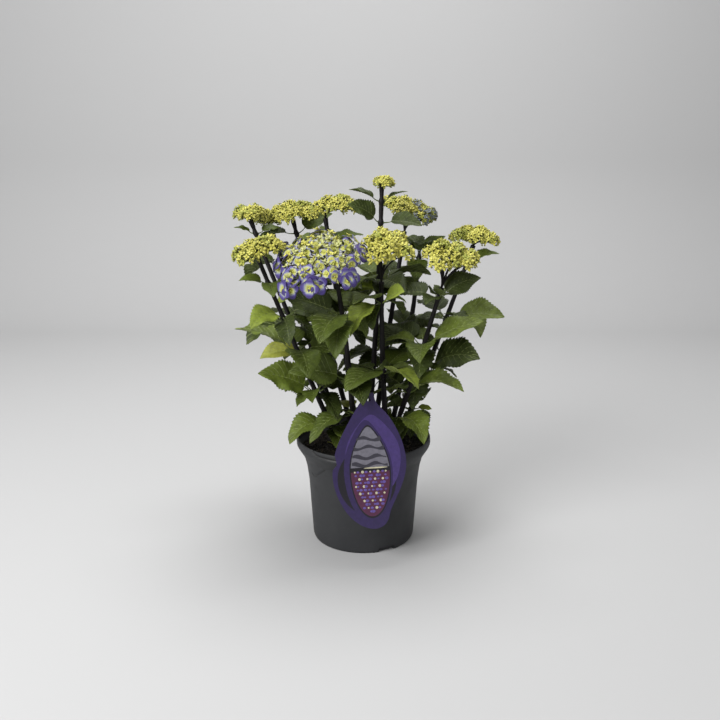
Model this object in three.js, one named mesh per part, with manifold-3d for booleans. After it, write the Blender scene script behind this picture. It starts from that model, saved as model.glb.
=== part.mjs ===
// A young hydrangea shrub in a nursery pot: twelve fanned canes that carry opposite leaves and flat
// flower heads, potted in compost, with a leaf-shaped card looped to the middle cane.
// Millimetres and degrees, +Z up. The origin is the middle of the pot's flat underside, and -Y is the front.
import * as THREE from 'three';
import { mergeVertices } from 'three/addons/utils/BufferGeometryUtils.js';
import Module from 'manifold-3d';

const wasm = await Module();
wasm.setup();

// ---- driving sizes ----

const GAP = 0.3;                    // clearance between pieces that touch
const GOLDEN_TURN = 137.508;        // degrees from one spray of a flower head to the next

const POT = {
  height: 181, footRadius: 87.2, corner: 2.4, wall: 1.6, floor: 2.4, segments: 32,
  // outer profile above the corner: height, radius
  body: [[5, 88], [106, 94.4], [132, 98], [149, 102.5], [164, 112], [169, 115], [177, 115]],
  rimRadius: 113.6,
  drains: 2, drainWidth: 30, drainHeight: 8, drainDepth: 7, firstDrain: -63,
};
const SOIL_TOP = 162;
const GROUND = SOIL_TOP + GAP;      // where every cane is cut flat

const CANE = { sides: 6, steps: 5, footRadius: 5, tipRadius: 3.6, flare: 1.8, flareHeight: 9 };
// name, foot x y, bend x y z (the curve is pulled towards it), tip x y z
const CANES = [
  ['left_front', [-40, -8], [-106.5, -25, 326], [-163, -66, 489]],
  ['left_back', [-30, 14], [-119.5, 44.5, 348], [-187, 57, 533]],
  ['left_rear', [-36, 34], [-102, 86, 336], [-163, 146, 515]],
  ['back_left', [-16, 44], [-72, 92, 346], [-122, 128, 526]],
  ['back_centre', [-10, 22], [-36, 48, 351], [-63, 58, 536]],
  ['crown', [6, 0], [24, 4, 356], [29, 10, 595]],
  ['back_right', [18, 44], [44, 74, 346], [70, 104, 509]],
  ['back_shoot', [46, 40], [86, 76, 336], [99, 112, 485]],
  ['far_right', [60, 10], [123, 37.5, 321], [187, 86, 487]],
  ['right_front', [44, -3], [86.5, -22, 296.5], [121, -50, 436]],
  ['centre_front', [40, -24], [30, -38, 306], [28, -54, 446]],
  ['centre_left', [-16, -22], [-19.5, -40, 310], [-41, -82, 457]],
];

const HEAD = { pitch: 25, sprayRadius: 14.2, sprayRise: 6, sprayDrop: 6, dome: 0.1, stem: 8, hub: 5, rayRadius: 1.7 };
const OPEN_HEAD = { cane: 'centre_left', pitch: 28, sprayRadius: 15.6 };   // its outer flowers have opened
// cane, centre x y z of the head, width, tilt and the way it tilts
const HEADS = [
  ['left_front', [-165, -56, 511], 92, 16, 200],
  ['left_back', [-194, 60, 555], 72, 3, 180],
  ['left_rear', [-176, 130, 541], 58, 8, 90],
  ['back_left', [-119, 110, 556], 92, 8, -90],
  ['back_centre', [-48, 60, 570], 82, 8, 220],
  ['crown', [32, 10, 609], 42, 0, 0],
  ['back_right', [81, 90, 561], 106, 18, -20],
  ['far_right', [192, 90, 515], 88, 6, -60],
  ['right_front', [134, -60, 501], 96, 18, -60],
  ['centre_front', [38, -75, 519], 90, 22, -70],
  ['centre_left', [-69, -96, 499], 156, 32, -106],
];

const LEAF = { halfWidth: 0.34, fold: 24, thick: 1.3, stalk: 0.22, stalkRadius: 1.5, rows: [0.15, 0.5, 0.97] };
const COLLAR = { sides: 4, height: 7, wall: 2.2 };
// cane, height, its leaves and its number of side leaves. A leaf is its turn (0 right, 90 back), rise at the
// base, droop along the blade, length and roll.
const WHORLS = [
  ['left_front', 199, [[209, 22, 94, 72, -18], [288, -5, 55, 58, 0]], 1],
  ['left_front', 264, [[203, 34, 28, 86, -48], [238, 0, 40, 42, 0], [30, 20, 50, 70, 20]], 2],
  ['left_front', 336, [[185, 33, 30, 88, -8], [8, 12, 50, 72, 30]], 2],
  ['left_front', 397, [[232, 22, 75, 62, -25], [14, 25, 45, 66, 35]], 0],
  ['left_front', 454, [[208, 24, 40, 38, -38], [272, 0, 40, 44, 0], [-8, 15, 30, 42, 25]], 0],
  ['left_back', 313, [[186, 15, 50, 64, -30], [20, 20, 50, 70, 20]], 3],
  ['left_back', 520, [[197, 30, 30, 28, -20], [20, 25, 35, 32, 20]], 0],
  ['left_rear', 351, [[130, 25, 55, 84, 0], [300, 10, 50, 76, 0]], 3],
  ['left_rear', 458, [[85, 25, 50, 66, 0], [200, 20, 45, 60, -20]], 2],
  ['back_left', 356, [[95, 20, 55, 84, 0], [265, 20, 50, 70, 0]], 4],
  ['back_left', 513, [[201, 55, 30, 52, -52], [-8, 38, 28, 58, 45], [176, 0, 25, 58, -15]], 0],
  ['back_centre', 421, [[95, 20, 50, 84, 0], [255, 10, 45, 70, 0]], 4],
  ['back_centre', 508, [[5, 20, 30, 46, 20], [185, 10, 30, 44, -20]], 1],
  ['crown', 446, [[120, 25, 50, 80, 0], [-60, 10, 50, 66, 20]], 4],
  ['crown', 543, [[203, 44, 40, 52, -60], [-9, 2, 20, 52, 28]], 0],
  ['crown', 577, [[186, 30, 25, 43, -16], [-7, 34, 30, 34, 12]], 0],
  ['back_right', 306, [[100, 20, 55, 84, 0], [-20, 15, 50, 72, 20]], 4],
  ['back_right', 431, [[80, 25, 50, 80, 0], [165, 20, 45, 70, 0]], 3],
  ['back_shoot', 341, [[50, 25, 50, 84, 0], [230, 10, 50, 72, 0]], 3],
  ['back_shoot', 472, [[-17, 52, 25, 48, 50], [163, 20, 40, 44, -20], [262, -20, 40, 54, 0]], 0],
  ['far_right', 221, [[248, -5, 55, 56, 0], [-46, 8, 20, 24, 0], [120, 10, 60, 60, 0]], 0],
  ['far_right', 284, [[-17, 42, 55, 98, 30], [204, 33, 38, 78, -38], [30, 20, 20, 26, 0]], 0],
  ['far_right', 374, [[-29, 14, 22, 84, 25], [140, 25, 45, 78, -10]], 1],
  ['far_right', 472, [[2, 20, 25, 42, 28], [176, 20, 25, 36, -15]], 0],
  ['right_front', 212, [[-37, 20, 92, 74, 8], [258, 8, 50, 48, 0]], 0],
  ['right_front', 263, [[-13, 33, 60, 92, 16], [165, 20, 45, 78, -20]], 1],
  ['right_front', 346, [[-16, 35, 24, 86, 14], [160, 15, 45, 76, -20]], 2],
  ['right_front', 428, [[2, 42, 40, 60, 48], [150, 10, 35, 72, -30]], 0],
  ['centre_front', 302, [[-56, 15, 50, 78, -12], [150, 10, 45, 62, 0]], 4],
  ['centre_front', 422, [[-36, 32, 25, 56, 50], [222, -15, 60, 68, 0]], 2],
  ['centre_left', 227, [[-84, 34, 40, 36, 0], [150, 20, 60, 60, 0]], 2],
  ['centre_left', 291, [[197, 22, 30, 84, -42], [30, 15, 50, 68, 20]], 3],
  ['centre_left', 402, [[-74, -20, 55, 72, 0], [174, 25, 20, 78, -55]], 2],
];
// leaves of the side buds, which cross a whorl's own pair wherever there is room
const SIDE_LEAVES = { seed: 11, rise: [-5, 30], droop: [40, 70], length: [62, 96], roll: 16 };
// what a leaf tries where another already grows: turned aside, lifted, and then smaller
const TURNS = [0, 12, -12, 24, -24, 38, -38];
const LIFTS = [0, 14, -14];
const SIZES = [1, 0.8];
const SAMPLES = { along: 12, across: 3, leafReach: 6.5, limbReach: 3.2, rimReach: 4 };

const TAG = {
  thick: 1, foot: [6, -114.9, POT.height], lean: 12.2, roll: 3.6, hole: [8.2, 93.4], holeRadius: 2.6,
};
const LOOP = { radius: 0.7, halfSides: 3, steps: 28, height: 297 };

// ---- materials ----

const finish = (color, roughness, metalness = 0) =>
  new THREE.MeshStandardMaterial({ color, roughness, metalness, flatShading: true });
const MATERIALS = {
  pot: finish('#3a3c3f', 0.55),
  soil: finish('#15120f', 0.95),
  cane: finish('#1c161d', 0.6),
  leaf: finish('#50702a', 0.55),
  yellow: finish('#c4b94e', 0.7),
  violet: finish('#8a83b8', 0.65),
  tag: finish('#3d2a68', 0.35),
  cord: finish('#0c0c0e', 0.5),
};

const group = new THREE.Group();

// ---- geometry helpers ----

const vec = (p) => new THREE.Vector3(...p);
const rad = THREE.MathUtils.degToRad;

// A closed mesh as a manifold, with its faces turned outwards.
function solid(geometry) {
  geometry.deleteAttribute('normal');
  geometry.deleteAttribute('uv');
  const merged = mergeVertices(geometry, 1e-4);
  const triVerts = Uint32Array.from(merged.index.array);
  const vertProperties = Float32Array.from(merged.attributes.position.array);
  const made = new wasm.Manifold(new wasm.Mesh({ numProp: 3, vertProperties, triVerts }));
  if (made.volume() > 0) return made;
  for (let i = 0; i < triVerts.length; i += 3) {
    [triVerts[i], triVerts[i + 1]] = [triVerts[i + 1], triVerts[i]];
  }
  return new wasm.Manifold(new wasm.Mesh({ numProp: 3, vertProperties, triVerts }));
}

// Rings of equal length joined side by side, with flat ends.
function loft(rings) {
  const n = rings[0].length;
  const index = [];
  for (let k = 0; k + 1 < rings.length; k++) {
    for (let i = 0; i < n; i++) {
      const a = k * n + i;
      const b = k * n + (i + 1) % n;
      index.push(a, b, b + n, a, b + n, a + n);
    }
  }
  const last = (rings.length - 1) * n;
  for (let i = 1; i + 1 < n; i++) {
    index.push(0, i + 1, i, last, last + i, last + i + 1);
  }
  const geometry = new THREE.BufferGeometry().setFromPoints(rings.flat());
  geometry.setIndex(index);
  return solid(geometry);
}

// One straight taper between two points.
function twig(from, to, fromRadius, toRadius, sides = 3) {
  const along = to.clone().sub(from).normalize();
  const side = new THREE.Vector3(0, 0, 1).cross(along);
  if (side.lengthSq() < 1e-6) side.set(1, 0, 0);
  side.normalize();
  const up = along.clone().cross(side);
  const ring = (centre, radius) => Array.from({ length: sides }, (_, i) => {
    const a = (i / sides) * 2 * Math.PI;
    return centre.clone().addScaledVector(side, radius * Math.cos(a)).addScaledVector(up, radius * Math.sin(a));
  });
  return loft([ring(from, fromRadius), ring(to, toRadius)]);
}

// The largest body of a join: scraps fall away, and a sealed hollow is filled.
function whole(parts) {
  const bodies = parts.reduce((a, b) => a.add(b)).decompose();
  return bodies.reduce((a, b) => (a.volume() > b.volume() ? a : b));
}

function put(name, body, material) {
  const { vertProperties, triVerts } = body.getMesh();
  const geometry = new THREE.BufferGeometry();
  geometry.setAttribute('position', new THREE.BufferAttribute(Float32Array.from(vertProperties), 3));
  geometry.setIndex(new THREE.BufferAttribute(Uint32Array.from(triVerts), 1));
  geometry.computeVertexNormals();
  const mesh = new THREE.Mesh(geometry, material);
  mesh.name = name;
  group.add(mesh);
}

// ---- canes ----

const canes = CANES.map(([name, foot, bend, tip]) => ({
  name,
  curve: new THREE.QuadraticBezierCurve3(vec([...foot, GROUND]), vec(bend), vec(tip)),
}));
const caneNamed = (name) => canes.find((cane) => cane.name === name);

function caneRadius(cane, t) {
  const rise = cane.curve.getPoint(t).z - GROUND;
  const taper = CANE.footRadius + (CANE.tipRadius - CANE.footRadius) * t;
  return taper + CANE.flare * Math.exp(-rise / CANE.flareHeight);
}

// Where a cane passes a height, found by halving.
function caneAt(cane, height) {
  let low = 0;
  let high = 1;
  for (let k = 0; k < 30; k++) {
    const t = (low + high) / 2;
    if (cane.curve.getPoint(t).z < height) low = t;
    else high = t;
  }
  return low;
}

// A cane's rings lie level, so its foot and its tip are both cut flat.
function levelRing(centre, radius, sides) {
  return Array.from({ length: sides }, (_, i) => {
    const a = (i / sides) * 2 * Math.PI;
    return new THREE.Vector3(centre.x + radius * Math.cos(a), centre.y + radius * Math.sin(a), centre.z);
  });
}

function makeCane(cane) {
  const stations = [0, 0.02, 0.05];
  for (let k = 1; k <= CANE.steps; k++) stations.push(0.05 + (0.95 * k) / CANE.steps);
  const rings = stations.map((t) => levelRing(cane.curve.getPoint(t), caneRadius(cane, t), CANE.sides));
  put(`cane_${cane.name}`, loft(rings), MATERIALS.cane);
}

// ---- flower heads ----

const sprayOf = (name) => (name === OPEN_HEAD.cane ? OPEN_HEAD : HEAD);

// The places of a head's sprays: a sunflower spiral on a shallow, tilted dome.
function headSprays([name, centre, width, tilt, turn]) {
  const { pitch, sprayRadius } = sprayOf(name);
  const axis = new THREE.Vector3(0, 0, 1).applyAxisAngle(
    new THREE.Vector3(-Math.sin(rad(turn)), Math.cos(rad(turn)), 0), rad(tilt));
  const across = new THREE.Vector3(1, 0, 0).addScaledVector(axis, -axis.x).normalize();
  const back = axis.clone().cross(across);
  const edge = width / 2 - 0.7 * sprayRadius;
  const count = Math.max(4, Math.round(Math.PI * edge * edge / (0.8 * pitch * pitch)));
  return Array.from({ length: count }, (_, k) => {
    const out = Math.sqrt((k + 0.5) / count);
    const a = rad(k * GOLDEN_TURN);
    const place = vec(centre)
      .addScaledVector(across, edge * out * Math.cos(a))
      .addScaledVector(back, edge * out * Math.sin(a))
      .addScaledVector(axis, HEAD.dome * width * (0.5 - out * out));
    return { place, axis, across, back };
  });
}

// A ray and its spray in one loft: it leaves the hub, spreads under the flowers and closes over them.
function raySpray(fork, { place, axis, across, back }, radius) {
  const n = 5;
  const away = place.clone().sub(fork).normalize();
  const ring = (centre, r) => Array.from({ length: n }, (_, i) => {
    const a = (i / n) * 2 * Math.PI;
    return centre.clone().addScaledVector(across, r * Math.cos(a)).addScaledVector(back, r * Math.sin(a));
  });
  return loft([
    ring(fork.clone().addScaledVector(away, 0.7 * HEAD.hub), HEAD.rayRadius),
    ring(place.clone().addScaledVector(away, -HEAD.sprayDrop), 0.8 * HEAD.rayRadius),
    ring(place, radius),
    ring(place.clone().addScaledVector(axis, HEAD.sprayRise), 0.3 * radius),
  ]);
}

function headFork(head) {
  const cane = caneNamed(head[0]);
  const tip = cane.curve.getPoint(1);
  return { tip, fork: tip.clone().addScaledVector(cane.curve.getTangent(1), HEAD.stem) };
}

function makeHead(head) {
  const { tip, fork } = headFork(head);
  const foot = tip.clone();
  foot.z += GAP;
  const knee = fork.clone().lerp(tip, 0.4);
  const top = fork.clone().lerp(tip, -0.5);
  const parts = [loft([
    levelRing(foot, CANE.tipRadius, 6), levelRing(knee, CANE.tipRadius, 6), levelRing(fork, HEAD.hub, 6),
    levelRing(top, 2, 6),
  ])];
  headSprays(head).forEach((place) => parts.push(raySpray(fork, place, sprayOf(head[0]).sprayRadius)));
  const material = head[0] === OPEN_HEAD.cane ? MATERIALS.violet : MATERIALS.yellow;
  put(`bloom_${head[0]}`, whole(parts), material);
}

// ---- room: each leaf keeps clear of what already stands ----

const taken = [];
function claim(point, reach) {
  taken.push([point.x, point.y, point.z, reach]);
}

function blocked({ x, y, z }) {
  const out = Math.hypot(x, y);
  const near = SAMPLES.rimReach;
  if (z < POT.height + near && out > POT.body[4][1] - 2 * near && out < POT.body[5][1] + near) return true;
  if (z < SOIL_TOP + near && out < POT.rimRadius) return true;
  return taken.some(([a, b, c, reach]) => {
    const dx = x - a;
    const dy = y - b;
    const dz = z - c;
    return dx * dx + dy * dy + dz * dz < reach * reach;
  });
}

function claimLimbs() {
  canes.forEach((cane) => {
    for (let t = 0; t <= 1; t += 0.012) claim(cane.curve.getPoint(t), caneRadius(cane, t) + SAMPLES.limbReach);
  });
  HEADS.forEach((head) => {
    const { fork } = headFork(head);
    headSprays(head).forEach(({ place }) => {
      claim(place, sprayOf(head[0]).sprayRadius + 1);
      for (const t of [0.2, 0.45, 0.7]) claim(fork.clone().lerp(place, t), SAMPLES.leafReach);
    });
  });
}

// ---- leaves ----

// A leaf's stalk and blade. The midrib is an arc that starts at the rise and bends down by the droop, and
// the two halves fold up from it and curl back at the edge.
function leafShape(root, [turn, rise, droop, length, roll], lift = 0) {
  const out = new THREE.Vector3(Math.cos(rad(turn)), Math.sin(rad(turn)), 0);
  const level = new THREE.Vector3(-out.y, out.x, 0);
  const climb = rad(rise + 12 + lift);
  const start = root.clone()
    .addScaledVector(out, LEAF.stalk * length * Math.cos(climb))
    .add(new THREE.Vector3(0, 0, LEAF.stalk * length * Math.sin(climb)));
  const bend = rad(droop);
  const first = rad(rise + lift);
  const at = (t, s, over = 0) => {
    const now = first - bend * t;
    const reach = (length * (Math.sin(first) - Math.sin(now))) / bend;
    const raise = (length * (Math.cos(now) - Math.cos(first))) / bend;
    const midrib = start.clone().addScaledVector(out, reach);
    midrib.z += raise;
    const up = out.clone().multiplyScalar(-Math.sin(now));
    up.z = Math.cos(now);
    const side = level.clone().multiplyScalar(Math.cos(rad(roll))).addScaledVector(up, Math.sin(rad(roll)));
    const face = up.multiplyScalar(Math.cos(rad(roll))).addScaledVector(level, -Math.sin(rad(roll)));
    const half = LEAF.halfWidth * length * 2.75 * Math.sqrt(t) * (1 - t) ** 1.1;
    const wing = Math.abs(s);
    return midrib
      .addScaledVector(side, s * half * Math.cos(rad(LEAF.fold)))
      .addScaledVector(face, half * (wing * Math.sin(rad(LEAF.fold)) - 0.12 * wing * wing) + over);
  };
  return { root, start, level, at };
}

function leafSamples(leaf) {
  const points = [];
  const { along, across } = SAMPLES;
  for (let i = 1; i <= along; i++) {
    for (let j = -across; j <= across; j++) points.push(leaf.at(i / along, j / across));
  }
  return points;
}

// The first way round, lift and size in which a leaf stands clear.
function settle(root, [turn, rise, droop, length, roll], spread) {
  for (const size of SIZES) {
    for (const lift of LIFTS) {
      for (const aside of TURNS) {
        const way = turn + aside;
        const from = root.clone();
        from.x += spread * Math.cos(rad(way));
        from.y += spread * Math.sin(rad(way));
        const leaf = leafShape(from, [way, rise, droop, length * size, roll], lift);
        if (!leafSamples(leaf).some(blocked)) return leaf;
      }
    }
  }
  return null;
}

// A leaf is one closed loft: a diamond stalk that opens into a blade, whose two faces meet at the edge and
// stand apart along the midrib.
function leafBody({ root, start, level, at }) {
  const rise = start.clone().sub(root).normalize().cross(level);
  const stalkRing = (centre, radius) => [[-1, 0], [0, -1], [1, 0], [0, 1]].map(([s, u]) =>
    centre.clone().addScaledVector(level, s * radius).addScaledVector(rise, u * radius));
  const bladeRing = (t) => [at(t, -1), at(t, 0, -LEAF.thick / 2), at(t, 1), at(t, 0, LEAF.thick / 2)];
  return loft([
    stalkRing(root, LEAF.stalkRadius), stalkRing(start, 0.7 * LEAF.stalkRadius), ...LEAF.rows.map(bladeRing),
  ]);
}

// The leaf bases meet in a node that rings the cane and stands just clear of it.
function collar(centre, along, radius) {
  const inner = (radius + GAP + 0.1) / Math.cos(Math.PI / COLLAR.sides);
  const outer = inner + COLLAR.wall;
  const half = COLLAR.height / 2;
  const low = centre.clone().addScaledVector(along, -half);
  const high = centre.clone().addScaledVector(along, half);
  const under = centre.clone().addScaledVector(along, -half - 1);
  const above = centre.clone().addScaledVector(along, half + 1);
  return twig(low, high, outer, outer, COLLAR.sides).subtract(twig(under, above, inner, inner, COLLAR.sides));
}

let draw = SIDE_LEAVES.seed;
function random(low, high) {
  draw = (draw * 1664525 + 1013904223) % 4294967296;
  return low + ((high - low) * draw) / 4294967296;
}

function growLeaf(whorl, wish) {
  const leaf = settle(whorl.centre, wish, whorl.radius + 2.2);
  if (!leaf) return;
  whorl.leaves.push(leaf);
  leafSamples(leaf).forEach((point) => claim(point, SAMPLES.leafReach));
}

function growSideLeaves(whorl, firstTurn, sides) {
  const { rise, droop, length, roll } = SIDE_LEAVES;
  for (let k = 0; k < sides; k++) {
    const turn = firstTurn + 90 + 180 * k + random(-30, 30);
    growLeaf(whorl, [turn, random(...rise), random(...droop), random(...length), random(-roll, roll)]);
  }
}

function growWhorls() {
  const number = {};
  const whorls = WHORLS.map(([caneName, height]) => {
    const cane = caneNamed(caneName);
    const t = caneAt(cane, height);
    number[caneName] = (number[caneName] ?? 0) + 1;
    return {
      name: `leaves_${caneName}_${number[caneName]}`,
      centre: cane.curve.getPoint(t), along: cane.curve.getTangent(t), radius: caneRadius(cane, t), leaves: [],
    };
  });
  whorls.forEach((whorl, k) => WHORLS[k][2].forEach((wish) => growLeaf(whorl, wish)));
  whorls.forEach((whorl, k) => growSideLeaves(whorl, WHORLS[k][2][0][0], WHORLS[k][3]));
  whorls.forEach(({ name, centre, along, radius, leaves }) => {
    put(name, whole([collar(centre, along, radius), ...leaves.map(leafBody)]), MATERIALS.leaf);
  });
}

// ---- pot and compost ----

function makePot() {
  const { height, footRadius, corner, wall, floor, segments, body, rimRadius } = POT;
  const inside = [body[5], body[4], body[3], body[1]].map(([z, r]) => [z, r - 1.5 * wall]);
  const profile = [
    [0, 0], [footRadius - corner, 0], [footRadius, corner / 2], ...body.map(([z, r]) => [r, z]),
    [rimRadius, height], [rimRadius - 2 * wall, height],
    ...inside.map(([z, r]) => [r, z]), [footRadius - 2 * wall, floor], [0, floor],
  ].map(([r, z]) => new THREE.Vector2(r, z));
  const shell = new THREE.LatheGeometry(profile, segments).rotateX(Math.PI / 2);
  let pot = solid(shell);
  for (let k = 0; k < POT.drains; k++) {
    const notch = new THREE.BoxGeometry(POT.drainDepth * 2, POT.drainWidth, POT.drainHeight * 2)
      .translate(body[0][1], 0, 0)
      .rotateZ(rad(POT.firstDrain + (k * 360) / POT.drains));
    pot = pot.subtract(solid(notch));
  }
  put('pot', pot, MATERIALS.pot);
}

function makeSoil() {
  const { floor, footRadius, wall, body, segments } = POT;
  const inset = 1.5 * wall + GAP;
  const profile = [
    [0, floor + GAP], [footRadius - 2 * wall - GAP, floor + GAP], [body[1][1] - inset, body[1][0]],
    [body[3][1] - inset, body[3][0]], [body[3][1] - inset + 5, SOIL_TOP], [0, SOIL_TOP],
  ].map(([r, z]) => new THREE.Vector2(r, z));
  put('soil', solid(new THREE.LatheGeometry(profile, segments).rotateX(Math.PI / 2)), MATERIALS.soil);
}

// ---- card and its loop ----

// Card axes: x across, y up along the card, z out of its face towards the front.
const tagFrame = new THREE.Matrix4()
  .makeTranslation(...TAG.foot)
  .multiply(new THREE.Matrix4().makeRotationX(rad(90 - TAG.lean)))
  .multiply(new THREE.Matrix4().makeRotationZ(rad(TAG.roll)));

function tagOutline() {
  const shape = new THREE.Shape();
  shape.moveTo(4, 105);
  shape.bezierCurveTo(-14, 80, -46, 34, -52, 8);
  shape.lineTo(-49.5, -8);
  shape.lineTo(-56.5, -15);
  shape.bezierCurveTo(-62, -44, -44, -84, -27, -98.5);
  shape.bezierCurveTo(-17, -108, -6, -113, 5, -113.5);
  shape.bezierCurveTo(20, -113, 27, -104, 30, -92);
  shape.bezierCurveTo(35, -72, 61, -42, 61.5, -8);
  shape.bezierCurveTo(61.5, 20, 48, 56, 30, 76);
  shape.bezierCurveTo(24, 83, 16, 88, 16, 105);
  shape.closePath();
  return shape;
}

function makeTag() {
  const shape = tagOutline();
  const hole = new THREE.Path();
  hole.absarc(...TAG.hole, TAG.holeRadius, 0, 2 * Math.PI, true);
  shape.holes.push(hole);
  const card = new THREE.ExtrudeGeometry(shape, { depth: TAG.thick, bevelEnabled: false, curveSegments: 5 });
  put('tag', solid(card.applyMatrix4(tagFrame)), MATERIALS.tag);
}

function claimTag() {
  const low = -TAG.hole[1] - 16;
  for (let up = low; up < 110; up += 9) {
    for (let over = -54; over <= 60; over += 9) {
      if (Math.hypot(over / 62, up / 112) < 1) claim(vec([over, up, 0]).applyMatrix4(tagFrame), SAMPLES.leafReach + 1);
    }
  }
}

// The loop goes through the hole from behind, over the card's top edge and round the middle cane.
function loopCurve() {
  const cane = caneNamed('centre_front');
  const t = caneAt(cane, LOOP.height);
  const hub = cane.curve.getPoint(t);
  const round = caneRadius(cane, t) + LOOP.radius + 2 * GAP;
  const onCard = (x, y, z) => vec([x, y, z]).applyMatrix4(tagFrame);
  const [holeX, holeY] = TAG.hole;
  const atCane = (turn, out, drop = 0) =>
    hub.clone().add(new THREE.Vector3(out * Math.cos(rad(turn)), out * Math.sin(rad(turn)), -drop));
  return new THREE.CatmullRomCurve3([
    onCard(holeX, holeY, 0.5 * TAG.thick),
    onCard(holeX, holeY + 5, TAG.thick + 2.2),
    onCard(holeX, 108.5, 0.5 * TAG.thick),
    onCard(holeX + 3, 112, -14),
    atCane(218, 3 * round, 1),
    atCane(150, round + 1),
    atCane(95, round),
    atCane(35, round),
    atCane(-28, round + 1, 1),
    atCane(240, 3.6 * round, 7),
    onCard(holeX + 4, holeY + 6, -12),
  ], true, 'centripetal');
}

function makeLoop() {
  const section = new THREE.Shape();
  section.absarc(0, 0, LOOP.radius, 0, 2 * Math.PI);
  const ring = new THREE.ExtrudeGeometry(section, {
    steps: LOOP.steps, extrudePath: loopCurve(), bevelEnabled: false, curveSegments: LOOP.halfSides,
  });
  put('tag_loop', solid(ring), MATERIALS.cord);
}

function claimLoop() {
  loopCurve().getPoints(40).forEach((point) => claim(point, SAMPLES.leafReach));
}

makePot();
makeSoil();
canes.forEach(makeCane);
HEADS.forEach(makeHead);
makeTag();
makeLoop();
claimLimbs();
claimTag();
claimLoop();
growWhorls();

export default group;
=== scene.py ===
"""A young potted hydrangea in fine detail. Its canes, flower heads and leaves grow by the same rule as the
solids that they stand for, in millimetres and degrees, and are written to the meshes in metres."""
import math

import bpy
import numpy as np
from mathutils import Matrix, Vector
from mathutils.geometry import tessellate_polygon


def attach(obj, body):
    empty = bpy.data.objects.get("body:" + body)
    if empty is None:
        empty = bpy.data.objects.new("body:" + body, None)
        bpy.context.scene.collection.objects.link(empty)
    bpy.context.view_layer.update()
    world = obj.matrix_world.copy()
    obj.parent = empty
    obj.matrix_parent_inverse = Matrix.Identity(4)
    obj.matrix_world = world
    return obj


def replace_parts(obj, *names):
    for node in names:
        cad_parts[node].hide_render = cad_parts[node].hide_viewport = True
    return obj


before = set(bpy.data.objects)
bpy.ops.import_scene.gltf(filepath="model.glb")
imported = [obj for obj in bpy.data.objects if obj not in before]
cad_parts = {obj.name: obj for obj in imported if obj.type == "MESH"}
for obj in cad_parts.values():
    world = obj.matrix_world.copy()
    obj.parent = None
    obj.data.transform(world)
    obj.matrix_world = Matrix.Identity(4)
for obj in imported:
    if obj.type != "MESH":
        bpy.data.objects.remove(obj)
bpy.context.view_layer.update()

# ---- sizes of the growing rule, as in the solids ----

MM = 0.001
GAP = 0.3
GOLDEN_TURN = 137.508
POT_HEIGHT = 181
POT_BODY = [(5, 88), (106, 94.4), (132, 98), (149, 102.5), (164, 112), (169, 115), (177, 115)]
POT_FOOT = 87.2
RIM_RADIUS = 113.6
WALL = 1.6
SOIL_TOP = 162
GROUND = SOIL_TOP + GAP

CANE_FOOT, CANE_TIP, CANE_FLARE, FLARE_HEIGHT = 5, 3.6, 1.8, 9
# foot x y, bend x y z (the curve is pulled towards it), tip x y z
CANES = {
    "left_front": ((-40, -8), (-106.5, -25, 326), (-163, -66, 489)),
    "left_back": ((-30, 14), (-119.5, 44.5, 348), (-187, 57, 533)),
    "left_rear": ((-36, 34), (-102, 86, 336), (-163, 146, 515)),
    "back_left": ((-16, 44), (-72, 92, 346), (-122, 128, 526)),
    "back_centre": ((-10, 22), (-36, 48, 351), (-63, 58, 536)),
    "crown": ((6, 0), (24, 4, 356), (29, 10, 595)),
    "back_right": ((18, 44), (44, 74, 346), (70, 104, 509)),
    "back_shoot": ((46, 40), (86, 76, 336), (99, 112, 485)),
    "far_right": ((60, 10), (123, 37.5, 321), (187, 86, 487)),
    "right_front": ((44, -3), (86.5, -22, 296.5), (121, -50, 436)),
    "centre_front": ((40, -24), (30, -38, 306), (28, -54, 446)),
    "centre_left": ((-16, -22), (-19.5, -40, 310), (-41, -82, 457)),
}

BARE_SHOOT = "back_shoot"            # this cane ends in a bud and young leaves
OPEN_HEAD = "centre_left"            # this head's outer flowers have opened
YOUNG_HEAD = "crown"                 # this one is small and tight
TURNED_HEAD = "back_right"           # this one turns slate on its right side
SPRAY_PITCH, SPRAY_RADIUS = 25, 14.2
OPEN_PITCH, OPEN_RADIUS = 28, 15.6
HEAD_DOME, HEAD_STEM = 0.1, 8
# centre x y z of the head, width, tilt and the way it tilts
HEADS = {
    "left_front": ((-165, -56, 511), 92, 16, 200),
    "left_back": ((-194, 60, 555), 72, 3, 180),
    "left_rear": ((-176, 130, 541), 58, 8, 90),
    "back_left": ((-119, 110, 556), 92, 8, -90),
    "back_centre": ((-48, 60, 570), 82, 8, 220),
    "crown": ((32, 10, 609), 42, 0, 0),
    "back_right": ((81, 90, 561), 106, 18, -20),
    "far_right": ((192, 90, 515), 88, 6, -60),
    "right_front": ((134, -60, 501), 96, 18, -60),
    "centre_front": ((38, -75, 519), 90, 22, -70),
    "centre_left": ((-69, -96, 499), 156, 32, -106),
}

HALF_WIDTH, FOLD, STALK, SPREAD = 0.34, 24, 0.22, 2.2
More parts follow.
